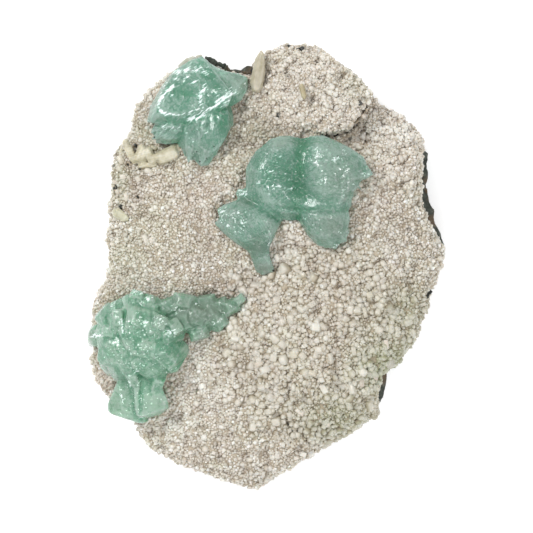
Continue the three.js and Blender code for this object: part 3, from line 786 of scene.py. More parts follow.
def round_grain(name, width, length, height, faces_round=None):
    """A round grain: a coarse ball, drawn out, or one with more faces for a larger nodule."""
    bpy.ops.object.select_all(action="DESELECT")
    if faces_round:
        bpy.ops.mesh.primitive_uv_sphere_add(segments=faces_round, ring_count=5, radius=0.5)
    else:
        bpy.ops.mesh.primitive_ico_sphere_add(subdivisions=1, radius=0.5)
    bpy.ops.object.shade_smooth()
    bpy.context.object.name = name
    return finish_grain(bpy.context.object, (width, length, height), -0.12 * height, 0.5 * height)


def worn_block(name, width, length, height, taper, wear):
    """A block that narrows upwards, with its edges worn off."""
    bpy.ops.object.select_all(action="DESELECT")
    bpy.ops.mesh.primitive_cube_add(size=1)
    grain = bpy.context.object
    grain.name = name
    select_top(grain)
    bpy.ops.transform.resize(value=(taper, taper, 1))
    bpy.ops.mesh.select_all(action="SELECT")
    bpy.ops.mesh.bevel(offset=wear, segments=1, affect="EDGES")
    bpy.ops.object.mode_set(mode="OBJECT")
    bpy.ops.object.shade_smooth()
    return finish_grain(grain, (width, length, height), -0.1 * height, 0.45 * height)


def cap_grain(name, corners, width, height, top_share, slide=(0, 0, 0), point=None):
    """A prism whose top is drawn in and pushed aside, and may rise to a point."""
    bpy.ops.object.select_all(action="DESELECT")
    bpy.ops.mesh.primitive_cylinder_add(vertices=corners, radius=width / 2, depth=height)
    grain = bpy.context.object
    grain.name = name
    select_top(grain)
    bpy.ops.mesh.extrude_region_move(TRANSFORM_OT_translate={"value": (0, 0, 0.3 * height)})
    bpy.ops.transform.resize(value=(top_share, top_share, 1))
    bpy.ops.transform.translate(value=slide)
    if point:
        bpy.ops.mesh.extrude_region_move(TRANSFORM_OT_translate={"value": (0, 0, point)})
        bpy.ops.transform.resize(value=(0.2, 0.2, 1))
    bpy.ops.object.mode_set(mode="OBJECT")
    return finish_grain(grain, (1, 1, 1), -0.2 * height, 0.8 * height)


def tray(name, *grains):
    """A collection of shapes for Geometry Nodes to pick from."""
    held = bpy.data.collections.new(name)
    for grain in grains:
        held.objects.link(grain)
    print(name, "triangles:", [triangles(grain) for grain in grains])
    return held


SUGAR_TRAY = tray(
    "sugar_tray",
    round_grain("sugar_pearl", 1.0, 1.0, 0.95),
    round_grain("sugar_long", 0.85, 1.25, 0.9),
    cap_grain("sugar_block", 4, 1.15, 0.7, 0.66),
    round_grain("sugar_flat", 1.15, 1.0, 0.75),
    cap_grain("sugar_point", 5, 1.0, 0.75, 0.7, slide=(0.05, 0, 0), point=0.25),
)
NODULE_TRAY = tray(
    "nodule_tray",
    round_grain("nodule_round", 1.0, 1.0, 0.95, faces_round=8),
    round_grain("nodule_long", 0.85, 1.2, 0.85, faces_round=8),
    worn_block("nodule_block", 0.95, 0.9, 0.8, 0.75, 0.16),
)
KNOB_TRAY = tray(
    "knob_tray",
    round_grain("knob_round", 1.0, 1.0, 0.8, faces_round=10),
    round_grain("knob_oval", 0.9, 1.15, 0.75, faces_round=10),
)
BLOCK_TRAY = tray(
    "block_tray",
    worn_block("block_square", 1.0, 0.9, 0.8, 0.72, 0.12),
    worn_block("block_long", 0.75, 1.2, 0.75, 0.78, 0.1),
    worn_block("block_lump", 1.0, 1.0, 0.85, 0.6, 0.2),
)
TRAYS = (SUGAR_TRAY, NODULE_TRAY, KNOB_TRAY, BLOCK_TRAY)


# %% Strewing by Geometry Nodes
MOST_GRAINS = 4e6  # on a square metre, which is more than the spacing lets through


def strewing_tree():
    """Takes a crust and gives back only the grains that stand on it."""
    tree = bpy.data.node_groups.new("strew_grains", "GeometryNodeTree")
    sockets = {
        "Crust": "Geometry", "Spacing": "Float", "Share Mask": "String", "Smallest": "Float",
        "Largest": "Float", "Lean": "Float", "Coarse Growth": "Float", "Palest": "Float", "Seed": "Int",
        "Tray": "Collection",
    }
    for name, kind in sockets.items():
        tree.interface.new_socket(name, in_out="INPUT", socket_type="NodeSocket" + kind)
    tree.interface.new_socket("Grains", in_out="OUTPUT", socket_type="NodeSocketGeometry")
    wiring = Wiring(tree)
    add = wiring.add
    given, end = add("NodeGroupInput").outputs, add("NodeGroupOutput").inputs

    def mask(name):
        return add("GeometryNodeInputNamedAttribute", data_type="FLOAT", Name=name).outputs["Attribute"]

    def chance_between(low, high, kind, shift):
        """A number or vector by chance for each grain, with a seed of its own."""
        seed = wiring.maths("ADD", given["Seed"], shift)
        made = add("FunctionNodeRandomValue", data_type=kind, Seed=seed)
        first, result = (2, 1) if kind == "FLOAT" else (0, 0)
        wiring.feed(low, made.inputs[first])
        wiring.feed(high, made.inputs[first + 1])
        return made.outputs[result]

    spread = add(
        "GeometryNodeDistributePointsOnFaces", distribute_method="POISSON", Mesh=given["Crust"],
        Distance_Min=given["Spacing"], Density_Max=MOST_GRAINS, Density_Factor=mask(given["Share Mask"]),
        Seed=given["Seed"],
    ).outputs
    toned = add(
        "GeometryNodeStoreNamedAttribute", data_type="FLOAT", domain="POINT", Name="tone",
        Geometry=spread["Points"], Value=chance_between(0.0, given["Palest"], "FLOAT", 11),
    ).outputs["Geometry"]

    lean = given["Lean"]
    lean_back = wiring.maths("MULTIPLY", lean, -1.0)
    low_turn = add("ShaderNodeCombineXYZ", lean_back, lean_back).outputs[0]
    high_turn = add("ShaderNodeCombineXYZ", lean, lean, 2 * math.pi).outputs[0]
    turn = chance_between(low_turn, high_turn, "FLOAT_VECTOR", 23)
    turn = add("FunctionNodeEulerToRotation", turn).outputs[0]
    turned = add("FunctionNodeRotateRotation", spread["Rotation"], turn, rotation_space="LOCAL").outputs[0]

    growth = wiring.maths("MULTIPLY_ADD", mask("coarse"), given["Coarse Growth"], 1.0)
    size = wiring.maths("MULTIPLY", chance_between(given["Smallest"], given["Largest"], "FLOAT", 37), growth)
    stretch = chance_between((0.8, 0.8, 0.8), (1.25, 1.25, 1.25), "FLOAT_VECTOR", 41)
    sized = add("ShaderNodeVectorMath", stretch, operation="SCALE", Scale=size).outputs[0]

    shapes = add(
        "GeometryNodeCollectionInfo", Collection=given["Tray"], Separate_Children=True, Reset_Children=True,
    ).outputs[0]
    placed = add(
        "GeometryNodeInstanceOnPoints", Points=toned, Instance=shapes, Pick_Instance=True, Rotation=turned,
        Scale=sized,
    ).outputs[0]
    wiring.feed(add("GeometryNodeRealizeInstances", placed).outputs[0], end[0])
    return tree


STREWING = strewing_tree()


def strew(name, ground, inside, **values):
    """Grains on the part of the ground whose faces pass a test of their middle, as a piece of their own."""
    only(ground)
    bpy.ops.object.duplicate()
    grains = bpy.context.object
    grains.name = name
    grains.data.name = name
    for face in grains.data.polygons:
        face.select = not inside(face.center.x / MM, face.center.y / MM)
    bpy.ops.object.mode_set(mode="EDIT")
    bpy.ops.mesh.select_mode(type="FACE")
    bpy.ops.mesh.delete(type="FACE")
    bpy.ops.object.mode_set(mode="OBJECT")
    only(grains)
    bpy.ops.object.modifier_add(type="NODES")
    modifier = grains.modifiers[-1]
    modifier.node_group = STREWING
    for item in STREWING.interface.items_tree:
        if item.in_out == "INPUT" and item.name in values:
            modifier[item.identifier] = values[item.name]
    bpy.ops.object.modifier_apply(modifier=modifier.name)
    return grains


# %% [markdown]
# The grains come in four kinds, strewn one over the other: a fine sugar everywhere, nodules among it, round
# knobs on the upper lobe and to the right of it, and coarse blocks on the lower mound. A piece can hold two
# hundred thousand triangles, so the plate is parted into regions, with the same grains on both sides of
# each border.

# %% Grains of each region
REGIONS = {
    "upper": lambda x, y: y > 36,
    "left": lambda x, y: y <= 36 and x < -12 and y > -32,
    "right": lambda x, y: y <= 36 and x >= -12 and y > 0,
    "lower_left": lambda x, y: (y <= -32 and x < 3) or (y <= 0 and -12 <= x < 3 and y > -32),
    "lower_right": lambda x, y: y <= 0 and x >= 3,
}
GRAIN_SIZES = {
    "sugar": {"Spacing": 0.68 * MM, "Share Mask": "sugar_share", "Smallest": 0.7 * MM, "Largest": 1.5 * MM,
              "Lean": 0.6, "Coarse Growth": 0.15, "Palest": 1.0, "Tray": SUGAR_TRAY},
    "nodules": {"Spacing": 1.5 * MM, "Share Mask": "nodule_share", "Smallest": 1.4 * MM, "Largest": 2.4 * MM,
                "Lean": 0.6, "Coarse Growth": 0.15, "Palest": 0.93, "Tray": NODULE_TRAY},
    "knobs": {"Spacing": 1.7 * MM, "Share Mask": "knob_share", "Smallest": 1.2 * MM, "Largest": 2.3 * MM,
              "Lean": 0.4, "Coarse Growth": 0.0, "Palest": 0.8, "Tray": KNOB_TRAY},
    "blocks": {"Spacing": 2.0 * MM, "Share Mask": "block_share", "Smallest": 1.4 * MM, "Largest": 3.4 * MM,
               "Lean": 0.7, "Coarse Growth": 0.0, "Palest": 0.97, "Tray": BLOCK_TRAY},
}
LEAST_SHARE = 0.3  # of a share mask, for a point of the crust to count as ground
FEWEST_POINTS = 200  # of such ground in a region, for a kind of grain to be strewn there


def grows_in(region, mask):
    """Whether a region has enough ground for the kind of grain that this share mask is for."""
    places = points_of(crust)[read(crust.data.attributes[mask].data, "value") > LEAST_SHARE] / MM
    return sum(REGIONS[region](px, py) for px, py, _ in places) > FEWEST_POINTS


def grains_of(region, seed):
    """The grains of all sizes of one region, joined into one piece."""
    layers = [
        strew(f"{size}_{region}", crust, REGIONS[region], Seed=seed + index, **values)
        for index, (size, values) in enumerate(GRAIN_SIZES.items())
        if grows_in(region, values["Share Mask"])
    ]
    only(*layers)
    bpy.ops.object.join()
    grains = bpy.context.object
    grains.name = f"druse_grains_{region}"
    grains.data.name = grains.name
    return grains


druse_grains = [grains_of(region, 10 * index) for index, region in enumerate(REGIONS)]
for grains in druse_grains:
    print(grains.name, triangles(grains), "triangles")

# %% [markdown]
# A few of the largest crystals of the druse are set one by one, each at its own place: pale blunt blocks,
# and some cream lumps beside the stilbite. They are copies of the worn blocks, laid on the crust.

# %% Large crystals set by hand
LARGE_BLOCKS = [  # x, y, width, length, turn in degrees, and paleness from 0 (grey-green) to 1 (white)
    (40.7, -31.8, 4.2, 5.4, 15, 0.05), (18.9, -40.3, 3.2, 3.4, 30, 0.75), (31.6, -34.8, 3.2, 3.6, 50, 0.7),
    (23.6, -37.8, 2.8, 3, 10, 0.6), (14.4, -35, 2.6, 3.8, 70, 0.4), (26.6, -8.8, 3.2, 3.4, 35, 0.35),
    (34, -9.4, 2.8, 3, 20, 0.45), (32.4, -15.2, 2.2, 3.4, 15, 0.4), (29.6, -19, 3.2, 3, 45, 0.35),
    (37.1, -21, 2.8, 3.2, 60, 0.3), (39.6, -25.7, 2.6, 3, 5, 0.6), (25.5, -21.8, 2.2, 2.2, 25, 0.95),
    (18.8, -12.7, 2, 2, 40, 1), (31.3, -38.4, 2.8, 2.8, 0, 0.45), (5.3, -18.2, 2.4, 2.8, 65, 0.6),
    (8.9, -29, 3, 3.6, 20, 0.45), (6.2, -21.5, 2.2, 2.4, 10, 0.7), (35.4, -36.7, 2.4, 3.2, 75, 0.5),
    (-2.6, -32, 3.6, 3, 30, 0.3), (11, -48, 2.6, 3, 55, 0.6), (20, -52, 2.6, 2.8, 20, 0.5),
    (-13, -28.6, 3.6, 3, 40, 0.3), (-10.6, -22.4, 2.4, 2.6, 10, 0.7), (-8, -25, 2, 2.4, 60, 0.85),
    (15.9, 61.6, 2, 2.2, 40, 0.15), (12.9, 64.2, 0.9, 2.2, -65, 0.7), (20.4, 66.9, 0.9, 1.8, -30, 0.9),
    (21.8, 66, 0.9, 2, -35, 0.8), (26.4, 46, 2.2, 2.4, 10, 0.75), (23.2, 44.9, 2, 2.2, 20, 0.8),
    (33.1, 57.4, 2, 2.4, 30, 0.9), (-48.3, 35.4, 2.8, 3.2, 25, 0.4), (-48.7, 32.6, 2.4, 3, 60, 0.5),
    (-47.5, 29.8, 2.6, 2.2, 10, 0.5), (-49.8, 28, 2.2, 2.4, 80, 0.6), (-49.2, 24.7, 2, 2.8, 35, 0.5),
    (-46.2, 23, 2.2, 3.6, 10, 0.45), (-43.8, 20, 1.8, 2.4, 50, 0.55), (-39, 31.6, 2.4, 3.4, 65, 0.58),
    (-42.6, 29, 2, 2.6, 30, 0.48), (-40, 9, 2.4, 3, 20, 0.6), (-37.4, 8.4, 1.8, 3.8, 50, 0.6),
    (-36.6, 19.6, 1.6, 1.8, 0, 1), (-27.4, 67.6, 2.2, 3.6, -48, 0.05), (-24.8, 68.7, 2.4, 3.8, -66, 0),
    (-22.4, 69.5, 1.5, 2.4, -75, 0.1),
]
BACK_EDGE = 67.5  # y beyond which the last three stand, behind the cap crystal over the plate's edge
BACK_CRYSTAL_HEIGHT = 18.0
BLOCK_HEIGHT = 0.8  # of its width
BLOCK_LEAN = 0.35  # radians at most

chance = np.random.default_rng(5)


def set_block(shape_name, x, y, width, length, turn, paleness):
    """One large crystal on the crust, leaning a little by chance."""
    only(bpy.data.objects[shape_name])
    bpy.ops.object.duplicate()
    block = bpy.context.object
    ground = max(top_of(crust, x, y), BACK_CRYSTAL_HEIGHT * MM * (y > BACK_EDGE))
    height = ground + 0.12 * width * MM
    block.location = (x * MM, y * MM, height)
    lean_x, lean_y = chance.uniform(-BLOCK_LEAN, BLOCK_LEAN, 2)
    block.rotation_euler = (lean_x, lean_y, math.radians(turn))
    block.scale = (width * MM, length * MM, BLOCK_HEIGHT * width * MM)
    bpy.ops.object.transform_apply(location=True, rotation=True, scale=True)
    keep_mask(block, "tone", np.full(len(block.data.vertices), paleness))
    return block


block_names = [grain.name for grain in BLOCK_TRAY.objects]
large_blocks = [set_block(block_names[i % 3], *values) for i, values in enumerate(LARGE_BLOCKS)]
only(*large_blocks)
bpy.ops.object.join()
large_crystals = bpy.context.object
large_crystals.name = large_crystals.data.name = "druse_large_crystals"
shape(large_crystals, "SUBSURF", levels=1, render_levels=1, subdivision_type="SIMPLE")
for grain in [grain for held in TRAYS for grain in held.objects]:
    bpy.data.objects.remove(grain)
print("large crystals:", len(large_blocks), "with", triangles(large_crystals), "triangles")

# %% [markdown]
# A grain is cream, or now and then grey or white, and the whitest few are a painted glint. It is painted
# paler at its tip, a painted highlight, and brown at its foot, painted shade in the clefts, and the crust
# between the grains is painted mostly that brown as shade. Strewing gave every grain a tone, so one
# material can finish them all. The crust between the grains and the large crystals are the same mineral,
# so one function makes the three finishes, and each kind has some layers of its own. A little light passes
# below the surface, without which it would look like chalk.

# %% Druse finish
CREAM, WARM_CREAM, PINKISH = (0.60, 0.55, 0.455), (0.64, 0.56, 0.475), (0.60, 0.505, 0.43)
WHITE, GLINT_WHITE, YELLOWISH = (0.84, 0.82, 0.76), (0.97, 0.97, 0.95), (0.56, 0.54, 0.39)
TAN, DARK_TAN, DULL_SHADE = (0.45, 0.395, 0.285), (0.38, 0.33, 0.235), (0.30, 0.275, 0.21)
OLIVE, GREY_OLIVE, STAIN_AND_SHADE_BROWN = (0.30, 0.315, 0.17), (0.48, 0.49, 0.42), (0.31, 0.235, 0.18)
# shade colours: painted shade in the clefts between the grains
CLEFT_SHADE_BROWN, DEEP_CLEFT_SHADE = (0.45, 0.375, 0.275), (0.20, 0.165, 0.105)
NEAR_BLACK = (0.022, 0.024, 0.020)


def druse_finish(name, kind, roughness, tones):
    """Sugary druse: a grain has a tone of its own, a painted highlight at its tip and painted shade down in
    the clefts.
    """
    sugar = Finish(
        name, IOR=1.5, Subsurface_Weight=0.15, Subsurface_Radius=(1.0, 0.7, 0.5),
        Subsurface_Scale=0.6 * MM,
    )
    colour = sugar.group(MOTTLE, Size=900.0, Detail=3.0) if kind == "crust" else sugar.mask("tone")
    colour = sugar.ramp(colour, *tones)

    def mix_in_tint(source, tint, *stops):
        """Mixes in a tint where a mask or a pattern is strong: by stops, or simply by a share of it."""
        source = sugar.mask(source) if isinstance(source, str) else source
        share = sugar.maths("MULTIPLY", source, stops[0]) if len(stops) == 1 else sugar.ramp(source, *stops)
        return sugar.mix(share, colour, tint)

    patch = sugar.group(MOTTLE, Size=70.0, Detail=4.0, Seed=2.0)
    cluster = sugar.group(MOTTLE, Size=260.0, Detail=3.0, Seed=6.0)
    colour = mix_in_tint(patch, PINKISH, (0.45, 0.0), (0.9, 0.6))
    colour = mix_in_tint(patch, YELLOWISH, (0.1, 0.5), (0.5, 0.0))
    colour = mix_in_tint(cluster, STAIN_AND_SHADE_BROWN, (0.0, 0.55), (0.45, 0.0))
    colour = mix_in_tint(cluster, WHITE, (0.6, 0.0), (1.0, 0.6))
    if kind == "large":
        # painted shade: tan at the foot of each large crystal
        colour = mix_in_tint("rise", TAN, (0.0, 0.6), (0.4, 0.0))
    else:
        # painted light and painted shade: the whitish patches lighten where shade falls, the dull ones
        # darken as shade; coarse and calm are the druse's own tones
        for mask, tint, share in (
            ("coarse", TAN, 0.48), ("calm", WARM_CREAM, 0.4), ("whitish", WHITE, 0.8), ("dull", DULL_SHADE, 0.5),
        ):
            colour = mix_in_tint(mask, tint, share)
        # painted shade: browner down in the hollows of the crust
        colour = mix_in_tint("hollow", STAIN_AND_SHADE_BROWN, (0.45, 0.0), (0.8, 0.5))
        colour = mix_in_tint("olive", OLIVE, 0.95)
        # brown marks: a brown tint, partly painted shade
        colour = mix_in_tint("brown", STAIN_AND_SHADE_BROWN, 0.8)
    if kind == "grains":
        # painted shade at each grain's foot, darker where the clefts are open, and a painted highlight at
        # its tip
        colour = mix_in_tint("rise", CLEFT_SHADE_BROWN, (0.0, 0.75), (0.4, 0.0))
        deep = sugar.ramp(sugar.mask("rise"), (0.0, 0.9), (0.45, 0.0))
        colour = sugar.mix(sugar.maths("MULTIPLY", deep, sugar.mask("open_clefts")), colour, DEEP_CLEFT_SHADE)
        colour = mix_in_tint("rise", WHITE, (0.6, 0.0), (1.0, 0.4))
        # dark specks: the black of basalt bits, and painted shade in small holes
        colour = mix_in_tint("speck", NEAR_BLACK, (0.2, 0.0), (0.4, 1.0))
    if kind == "crust":
        # painted shade: the crust between the grains is mostly cleft brown
        colour = sugar.mix(0.7, colour, CLEFT_SHADE_BROWN)
        # painted shadow in the cracks, and the basalt's own black at the bare rims
        colour = mix_in_tint("crack", NEAR_BLACK, (0.25, 0.0), (0.6, 1.0))
    fine = sugar.group(MOTTLE, Size=2600.0, Detail=2.0, Seed=7.0)
    rough = sugar.ramp(fine, (0.0, roughness - 0.14), (1.0, roughness + 0.2))
    return sugar.wear(Base_Color=colour, Roughness=rough, Normal=sugar.bump(fine, 0.25, 0.15 * MM))


# the brightest few grains are painted near white as glints
GRAIN_TONES = ((0.0, DARK_TAN), (0.22, CREAM), (0.7, CREAM), (0.86, WHITE), (0.95, WHITE), (0.97, GLINT_WHITE))
BLOCK_TONES = ((0.0, GREY_OLIVE), (0.35, CREAM), (1.0, WHITE))
crust.data.materials.append(druse_finish("druse_crust_sugar", "crust", 0.6, GRAIN_TONES))
grain_finish = druse_finish("druse_grain_faces", "grains", 0.3, GRAIN_TONES)
for grains in druse_grains:
    grains.data.materials.clear()
    grains.data.materials.append(grain_finish)
large_crystals.data.materials.clear()
large_crystals.data.materials.append(druse_finish("druse_block_faces", "large", 0.3, BLOCK_TONES))
druse_grains.append(large_crystals)

# %% [markdown]
# ## Apophyllite
# The three groups are glassy, pale green and a little cloudy. Their crystals fan out, so fine growth lines
# run from the root of each fan to its tips. A copy of the solid is remeshed finely, softened, and given a UV
# map called rays, where one axis turns about the root and the other runs outwards. Displace reads it for the
# ridges, and the material for its lines.


# %% Fans
TURN_UNITS = 24.0  # units of the map for a full turn about a root
RAY_UNIT = 50.0  # millimetres along a ray for one unit of the map
RISE_SHIFT = 0.02  # units by which each millimetre of height shifts a line aside


def rays_map(piece, fans):
    """Maps each face by the first fan whose test its middle passes: heading across, distance along.
    A fan is its root, the way it faces in degrees, and its test. Behind its root the map has a seam."""
    only(piece)
    bpy.ops.mesh.uv_texture_add()
    layer = piece.data.uv_layers[-1]
    layer.name = "rays"
    middles = read(piece.data.polygons, "center", 3) / MM
    fan_of_face = np.full(len(middles), len(fans) - 1)
    for index in reversed(range(len(fans))):
        passed = fans[index][2](middles[:, 0], middles[:, 1])
        fan_of_face[passed] = index
    fan_of_corner = np.repeat(fan_of_face, read(piece.data.polygons, "loop_total", kind=np.int32))
    places = points_of(piece)[read(piece.data.loops, "vertex_index", kind=np.int32)] / MM
    roots = np.array([fan[0] for fan in fans], float)[fan_of_corner]
    facing = np.radians([fan[1] for fan in fans])[fan_of_corner]
    offset = places[:, :2] - roots
    distance = np.hypot(offset[:, 0], offset[:, 1])
    heading = np.arctan2(offset[:, 1], offset[:, 0]) - facing
    heading = (heading + math.pi) % (2 * math.pi) - math.pi + facing
    across = heading * TURN_UNITS / (2 * math.pi) + places[:, 2] * RISE_SHIFT
    along = (distance - places[:, 2]) / RAY_UNIT
    layer.data.foreach_set("uv", np.stack([across, along], 1).astype(np.float32).ravel())


def everywhere(x, y):
    """The test that the middle of any face passes."""
    return x == x


MIDDLE_FANS = [
    ((2.0, 6.0), 180, lambda x, y: (y < 19) & (x < 5) & (y < 16 - 0.6 * x)),
    ((9.5, 24.0), -90, lambda x, y: (y < 19.5) & (x > 5)),
    ((9.5, 27.0), 0, lambda x, y: x > 12 - 0.1 * (y - 27)),
    ((14.0, 28.0), 180, everywhere),
]
UPPER_LEFT_FANS = [
    ((-17.0, 55.0), -90, lambda x, y: (y < 47.5) & (x > -29)),
    ((-22.0, 49.5), 180, lambda x, y: (y < 46.0) & (x <= -29)),
    ((-70.0, 22.0), 45, everywhere),
]
LOWER_LEFT_FANS = [((-70.0, 60.0), -60, everywhere)]


# %% Apophyllite forms
def soften_tops(piece, rounds):
    """Smooths the faces that look up, and leaves the sides and tips as sharp as they are."""
    weigh(piece, "tops", smoothstep(0.55, 0.85, normals_of(piece)[:, 2]))
    shape(piece, "SMOOTH", factor=0.5, iterations=rounds, vertex_group="tops")
    piece.vertex_groups.remove(piece.vertex_groups["tops"])


def grow_lines(piece, fans, ridge, steps):
    """Adds the ridges that run out along each fan, and the small steps of growth."""
    rays_map(piece, fans)
    shape(
        piece, "DISPLACE", texture=relief_texture(piece.name + "_ridges", "CLOUDS", 0.55, noise_depth=2),
        texture_coords="UV", uv_layer="rays", strength=ridge, mid_level=0.5,
    )
    shape(
        piece, "DISPLACE", strength=steps, mid_level=0.4,
        texture=relief_texture(piece.name + "_steps", "VORONOI", 2.2 * MM, distance_metric="MANHATTAN"),
    )


PLAIN_DEPTH = 0.35
SEAM_ROUNDS, SEAM_RELIEF = 60, 1.4 * MM  # how wide around a seam is measured, and how deep it can be
EDGE_ROUNDS = 5


def mark_form(piece, silver, flake, deep=(), pale=(), grey=(), sparkle=(), specks=(), edge_relief=0.16):
    """Keeps, for the finish to read, where a group has its seams and edges, and a painted shade for each
    way that a face can look, lighter or darker by its facing. Soft marks say where its green is deep,
    partly as painted shade, pale or greyish, where it sparkles, and its dark specks. Glint marks, painted
    highlights as silver flakes, are broken up into flakes of a length, a width and a heading."""
    # painted shade, partly the crystal's thickness: the seams are painted deeper green
    keep_mask(piece, "seam", 0.5 + hollow_depth(piece, SEAM_ROUNDS) / SEAM_RELIEF)
    keep_mask(piece, "edge", 0.5 - hollow_depth(piece, EDGE_ROUNDS) / (edge_relief * MM))
    normal_x, normal_y, _ = neighbour_mean(piece, normals_of(piece), 3).T
    # painted shade: each face is lighter or darker by which way it faces
    keep_mask(piece, "face_tone", 0.5 + 0.5 * np.sin(9 * normal_x + 4) * np.sin(8 * normal_y + 1))
    depth = (1 - PLAIN_DEPTH) * soft_marks(piece, deep) - PLAIN_DEPTH * soft_marks(piece, pale)
    keep_mask(piece, "depth", PLAIN_DEPTH + depth)
    keep_mask(piece, "grey", soft_marks(piece, grey))
    keep_mask(piece, "sparkle", soft_marks(piece, sparkle))
    keep_mask(piece, "silver", flakes(piece, silver, *flake))
    keep_mask(piece, "speck", soft_marks(piece, specks))
    only(piece)
    bpy.ops.object.shade_smooth()
    print(piece.name, triangles(piece), "triangles")


# %% [markdown]
# The bow tie is two smooth domes that meet in a deep valley, with a third, lower lobe across a crease. The
# domes hide the crystals of each fan except at the tips.

# %% Bow tie
BOW_VALLEY = [(12.4, 39.7), (11.4, 33.6), (10.5, 29.1), (10.2, 24.7), (10.2, 20.2), (11, 17)]
BOW_CREASE = [(2.8, 19.9), (6.5, 18.8), (11.4, 18.3), (19, 18.4), (26.7, 18.3)]
SPRAY_NECK = [(-9, 24), (-5, 21), (0, 17.5), (3, 16)]
STEM_SIDE = [(5.2, 14.5), (3.7, 12), (1.2, 7), (0.8, 5.3), (1.2, 2.7), (2.8, -1.3)]
RAGGED_SIDE = [
    (33.5, 29.2), (31.3, 28.3), (30.2, 27.4), (30.4, 26.2), (28.9, 25.2), (28.7, 23), (27.9, 22.2),
    (28.1, 20.2), (27, 18.5), (27.6, 15.5), (26.9, 13), (27.4, 11.4), (26.3, 9),
]

middle = copy_of("apophyllite_middle", "apophyllite_bow_tie")
cut_beyond(middle, STEM_SIDE, reach=5.0)
cut_beyond(middle, RAGGED_SIDE, reach=6.0)
remeshed(middle, 0.4 * MM)
fill_seams(middle, 0.6 * MM, 0.38 * MM)
soften_tops(middle, 50)
press(middle, BOW_VALLEY, 4.5, 1.5)
press(middle, BOW_CREASE, 0.7, 0.5)
press(middle, SPRAY_NECK, 1.2, 1.0)
soften_tops(middle, 6)
grow_lines(middle, MIDDLE_FANS, 0.04 * MM, 0.09 * MM)
mark_form(
    middle,
    flake=(1.1, 0.6, -5),
    edge_relief=0.5,
    # painted highlights and glints, as silver flakes
    silver=[
        (1.5, 31.1, 1.33, 0.52, 0.95), (-1.2, 33.5, 1.85, 0.44, 0.62), (4.1, 26.3, 1.26, 0.67, 0.8),
        (7.8, 25.9, 2.22, 0.74, 0.78), (-2.7, 27.7, 0.74, 1.48, 0.5), (11, 39, 0.74, 1.11, 0.5),
        (3.6, 36.6, 1.11, 1.48, 0.45), (9.1, 33.3, 1.11, 0.74, 0.45), (16.5, 39.2, 0.81, 0.81, 0.45),
        (15.2, 35.9, 1.3, 1.11, 0.4), (22.8, 35.5, 2.96, 1.19, 0.68), (25.4, 37.4, 1.11, 1.48, 0.5),
        (18.4, 28.1, 2.96, 1.85, 0.3), (24.3, 32.2, 2.22, 1.11, 0.3), (33.2, 30.7, 2.07, 0.67, 0.72),
        (28.8, 27, 0.74, 0.56, 0.6), (26.2, 25.1, 1.85, 3.33, 0.3), (12.6, 15.7, 0.93, 0.52, 0.62),
        (15.8, 13.7, 1.11, 0.74, 0.7), (14.3, 12.9, 0.93, 0.74, 0.5), (18, 12.2, 0.74, 0.52, 0.6),
        (24.5, 11.4, 0.74, 0.74, 0.5), (23.6, 7, 2.22, 1.11, 0.4), (27.3, 7, 1.11, 0.74, 0.6),
        (-14.6, 18.1, 2.22, 1.85, 0.66), (-14.9, 15.1, 1.85, 1.11, 0.5), (-9.4, 17.9, 1.04, 0.52, 0.75),
        (-6.8, 17.7, 1.48, 0.52, 0.7), (-7.5, 14.8, 1.85, 0.93, 0.72), (-12.2, 13.5, 1.48, 0.81, 0.7),
        (-10.9, 11.3, 1.3, 0.67, 0.7), (-8.5, 11.6, 0.93, 0.74, 0.7), (-6.4, 15.1, 1.11, 1.11, 0.5),
        (-8.3, 13.7, 3.33, 2.96, 0.4), (-7.2, 23.9, 1.67, 0.81, 0.8), (-8.6, 24.8, 1.11, 0.52, 0.55),
        (3.6, 30.3, 8.5, 7.4, 0.18), (21, 31.4, 8.2, 8.2, 0.1),
    ],
    deep=[
        ([(12.5, 41.8), (11.4, 35.9), (11, 31.4), (10.2, 26.3), (9.1, 21.1)], 2.78, 0.95),
        (4.6, 31.4, 5.6, 5.2, 0.75), (6.9, 23.3, 4.07, 3.33, 0.45),
        ([(3.9, 19.2), (25.8, 19.4)], 1.04, 0.4), (11.7, 17.4, 2.22, 2.22, 0.5),
        (-3.5, 7, 4.07, 4.07, 0.55), (26.5, 35.5, 4.81, 1.33, 0.3), (-5.7, 21.1, 2.59, 2.22, 0.2),
        (23.2, 6.6, 3.33, 1.48, 0.35),
    ],
    pale=[
        (4.3, 40.3, 2.96, 2.22, 0.8), (18.8, 35.9, 6.5, 5.5, 0.65), (24, 28, 5, 6, 0.35),
        (0.2, 21.1, 4.07, 2.96, 0.4), (23.9, 13.7, 3.33, 4.44, 0.2), (15.1, 27.7, 3.33, 2.22, 0.3),
        (-13.1, 16.6, 4.44, 3.33, 0.35),
    ],
    grey=[
        (4.3, 40.3, 3.33, 1.85, 0.45), (24.8, 29.2, 7.3, 8.15, 0.6), (21.9, 12.8, 6.5, 5.19, 0.8),
        (-1.2, -0.8, 3.7, 3.33, 1), (-3, 6, 4, 5, 0.7), (-10, 16, 6, 5, 0.3),
        (-7.2, 21.1, 3.33, 2.22, 0.55), (23.2, 6.6, 3.7, 1.48, 0.5), (1.4, 12.6, 2.96, 3.33, 0.4),
        (-5.7, 29.2, 1.85, 5.93, 0.25),
    ],
    sparkle=[
        (1.7, 31.1, 8.15, 7.41, 0.6), (21, 35.9, 7.41, 4.44, 0.35), (15.8, 13.7, 4.07, 4.07, 0.8),
        (31.4, 30.3, 4.07, 4.07, 0.6), (-11.2, 15.5, 7.04, 5.56, 1), (25.8, 24, 2.22, 4.44, 0.7),
    ],
    specks=[(23.5, 36.3, 0.3, 0.3, 1), (2.6, -1.3, 0.9, 0.5, 1)],
)

# %% [markdown]
# The upper left group keeps its sharp edges: a thick tilted tablet with an oval face in a bevel painted
# bright as a highlight, a clearer crystal beside it, and a skirt of leaf-like crystals under both.

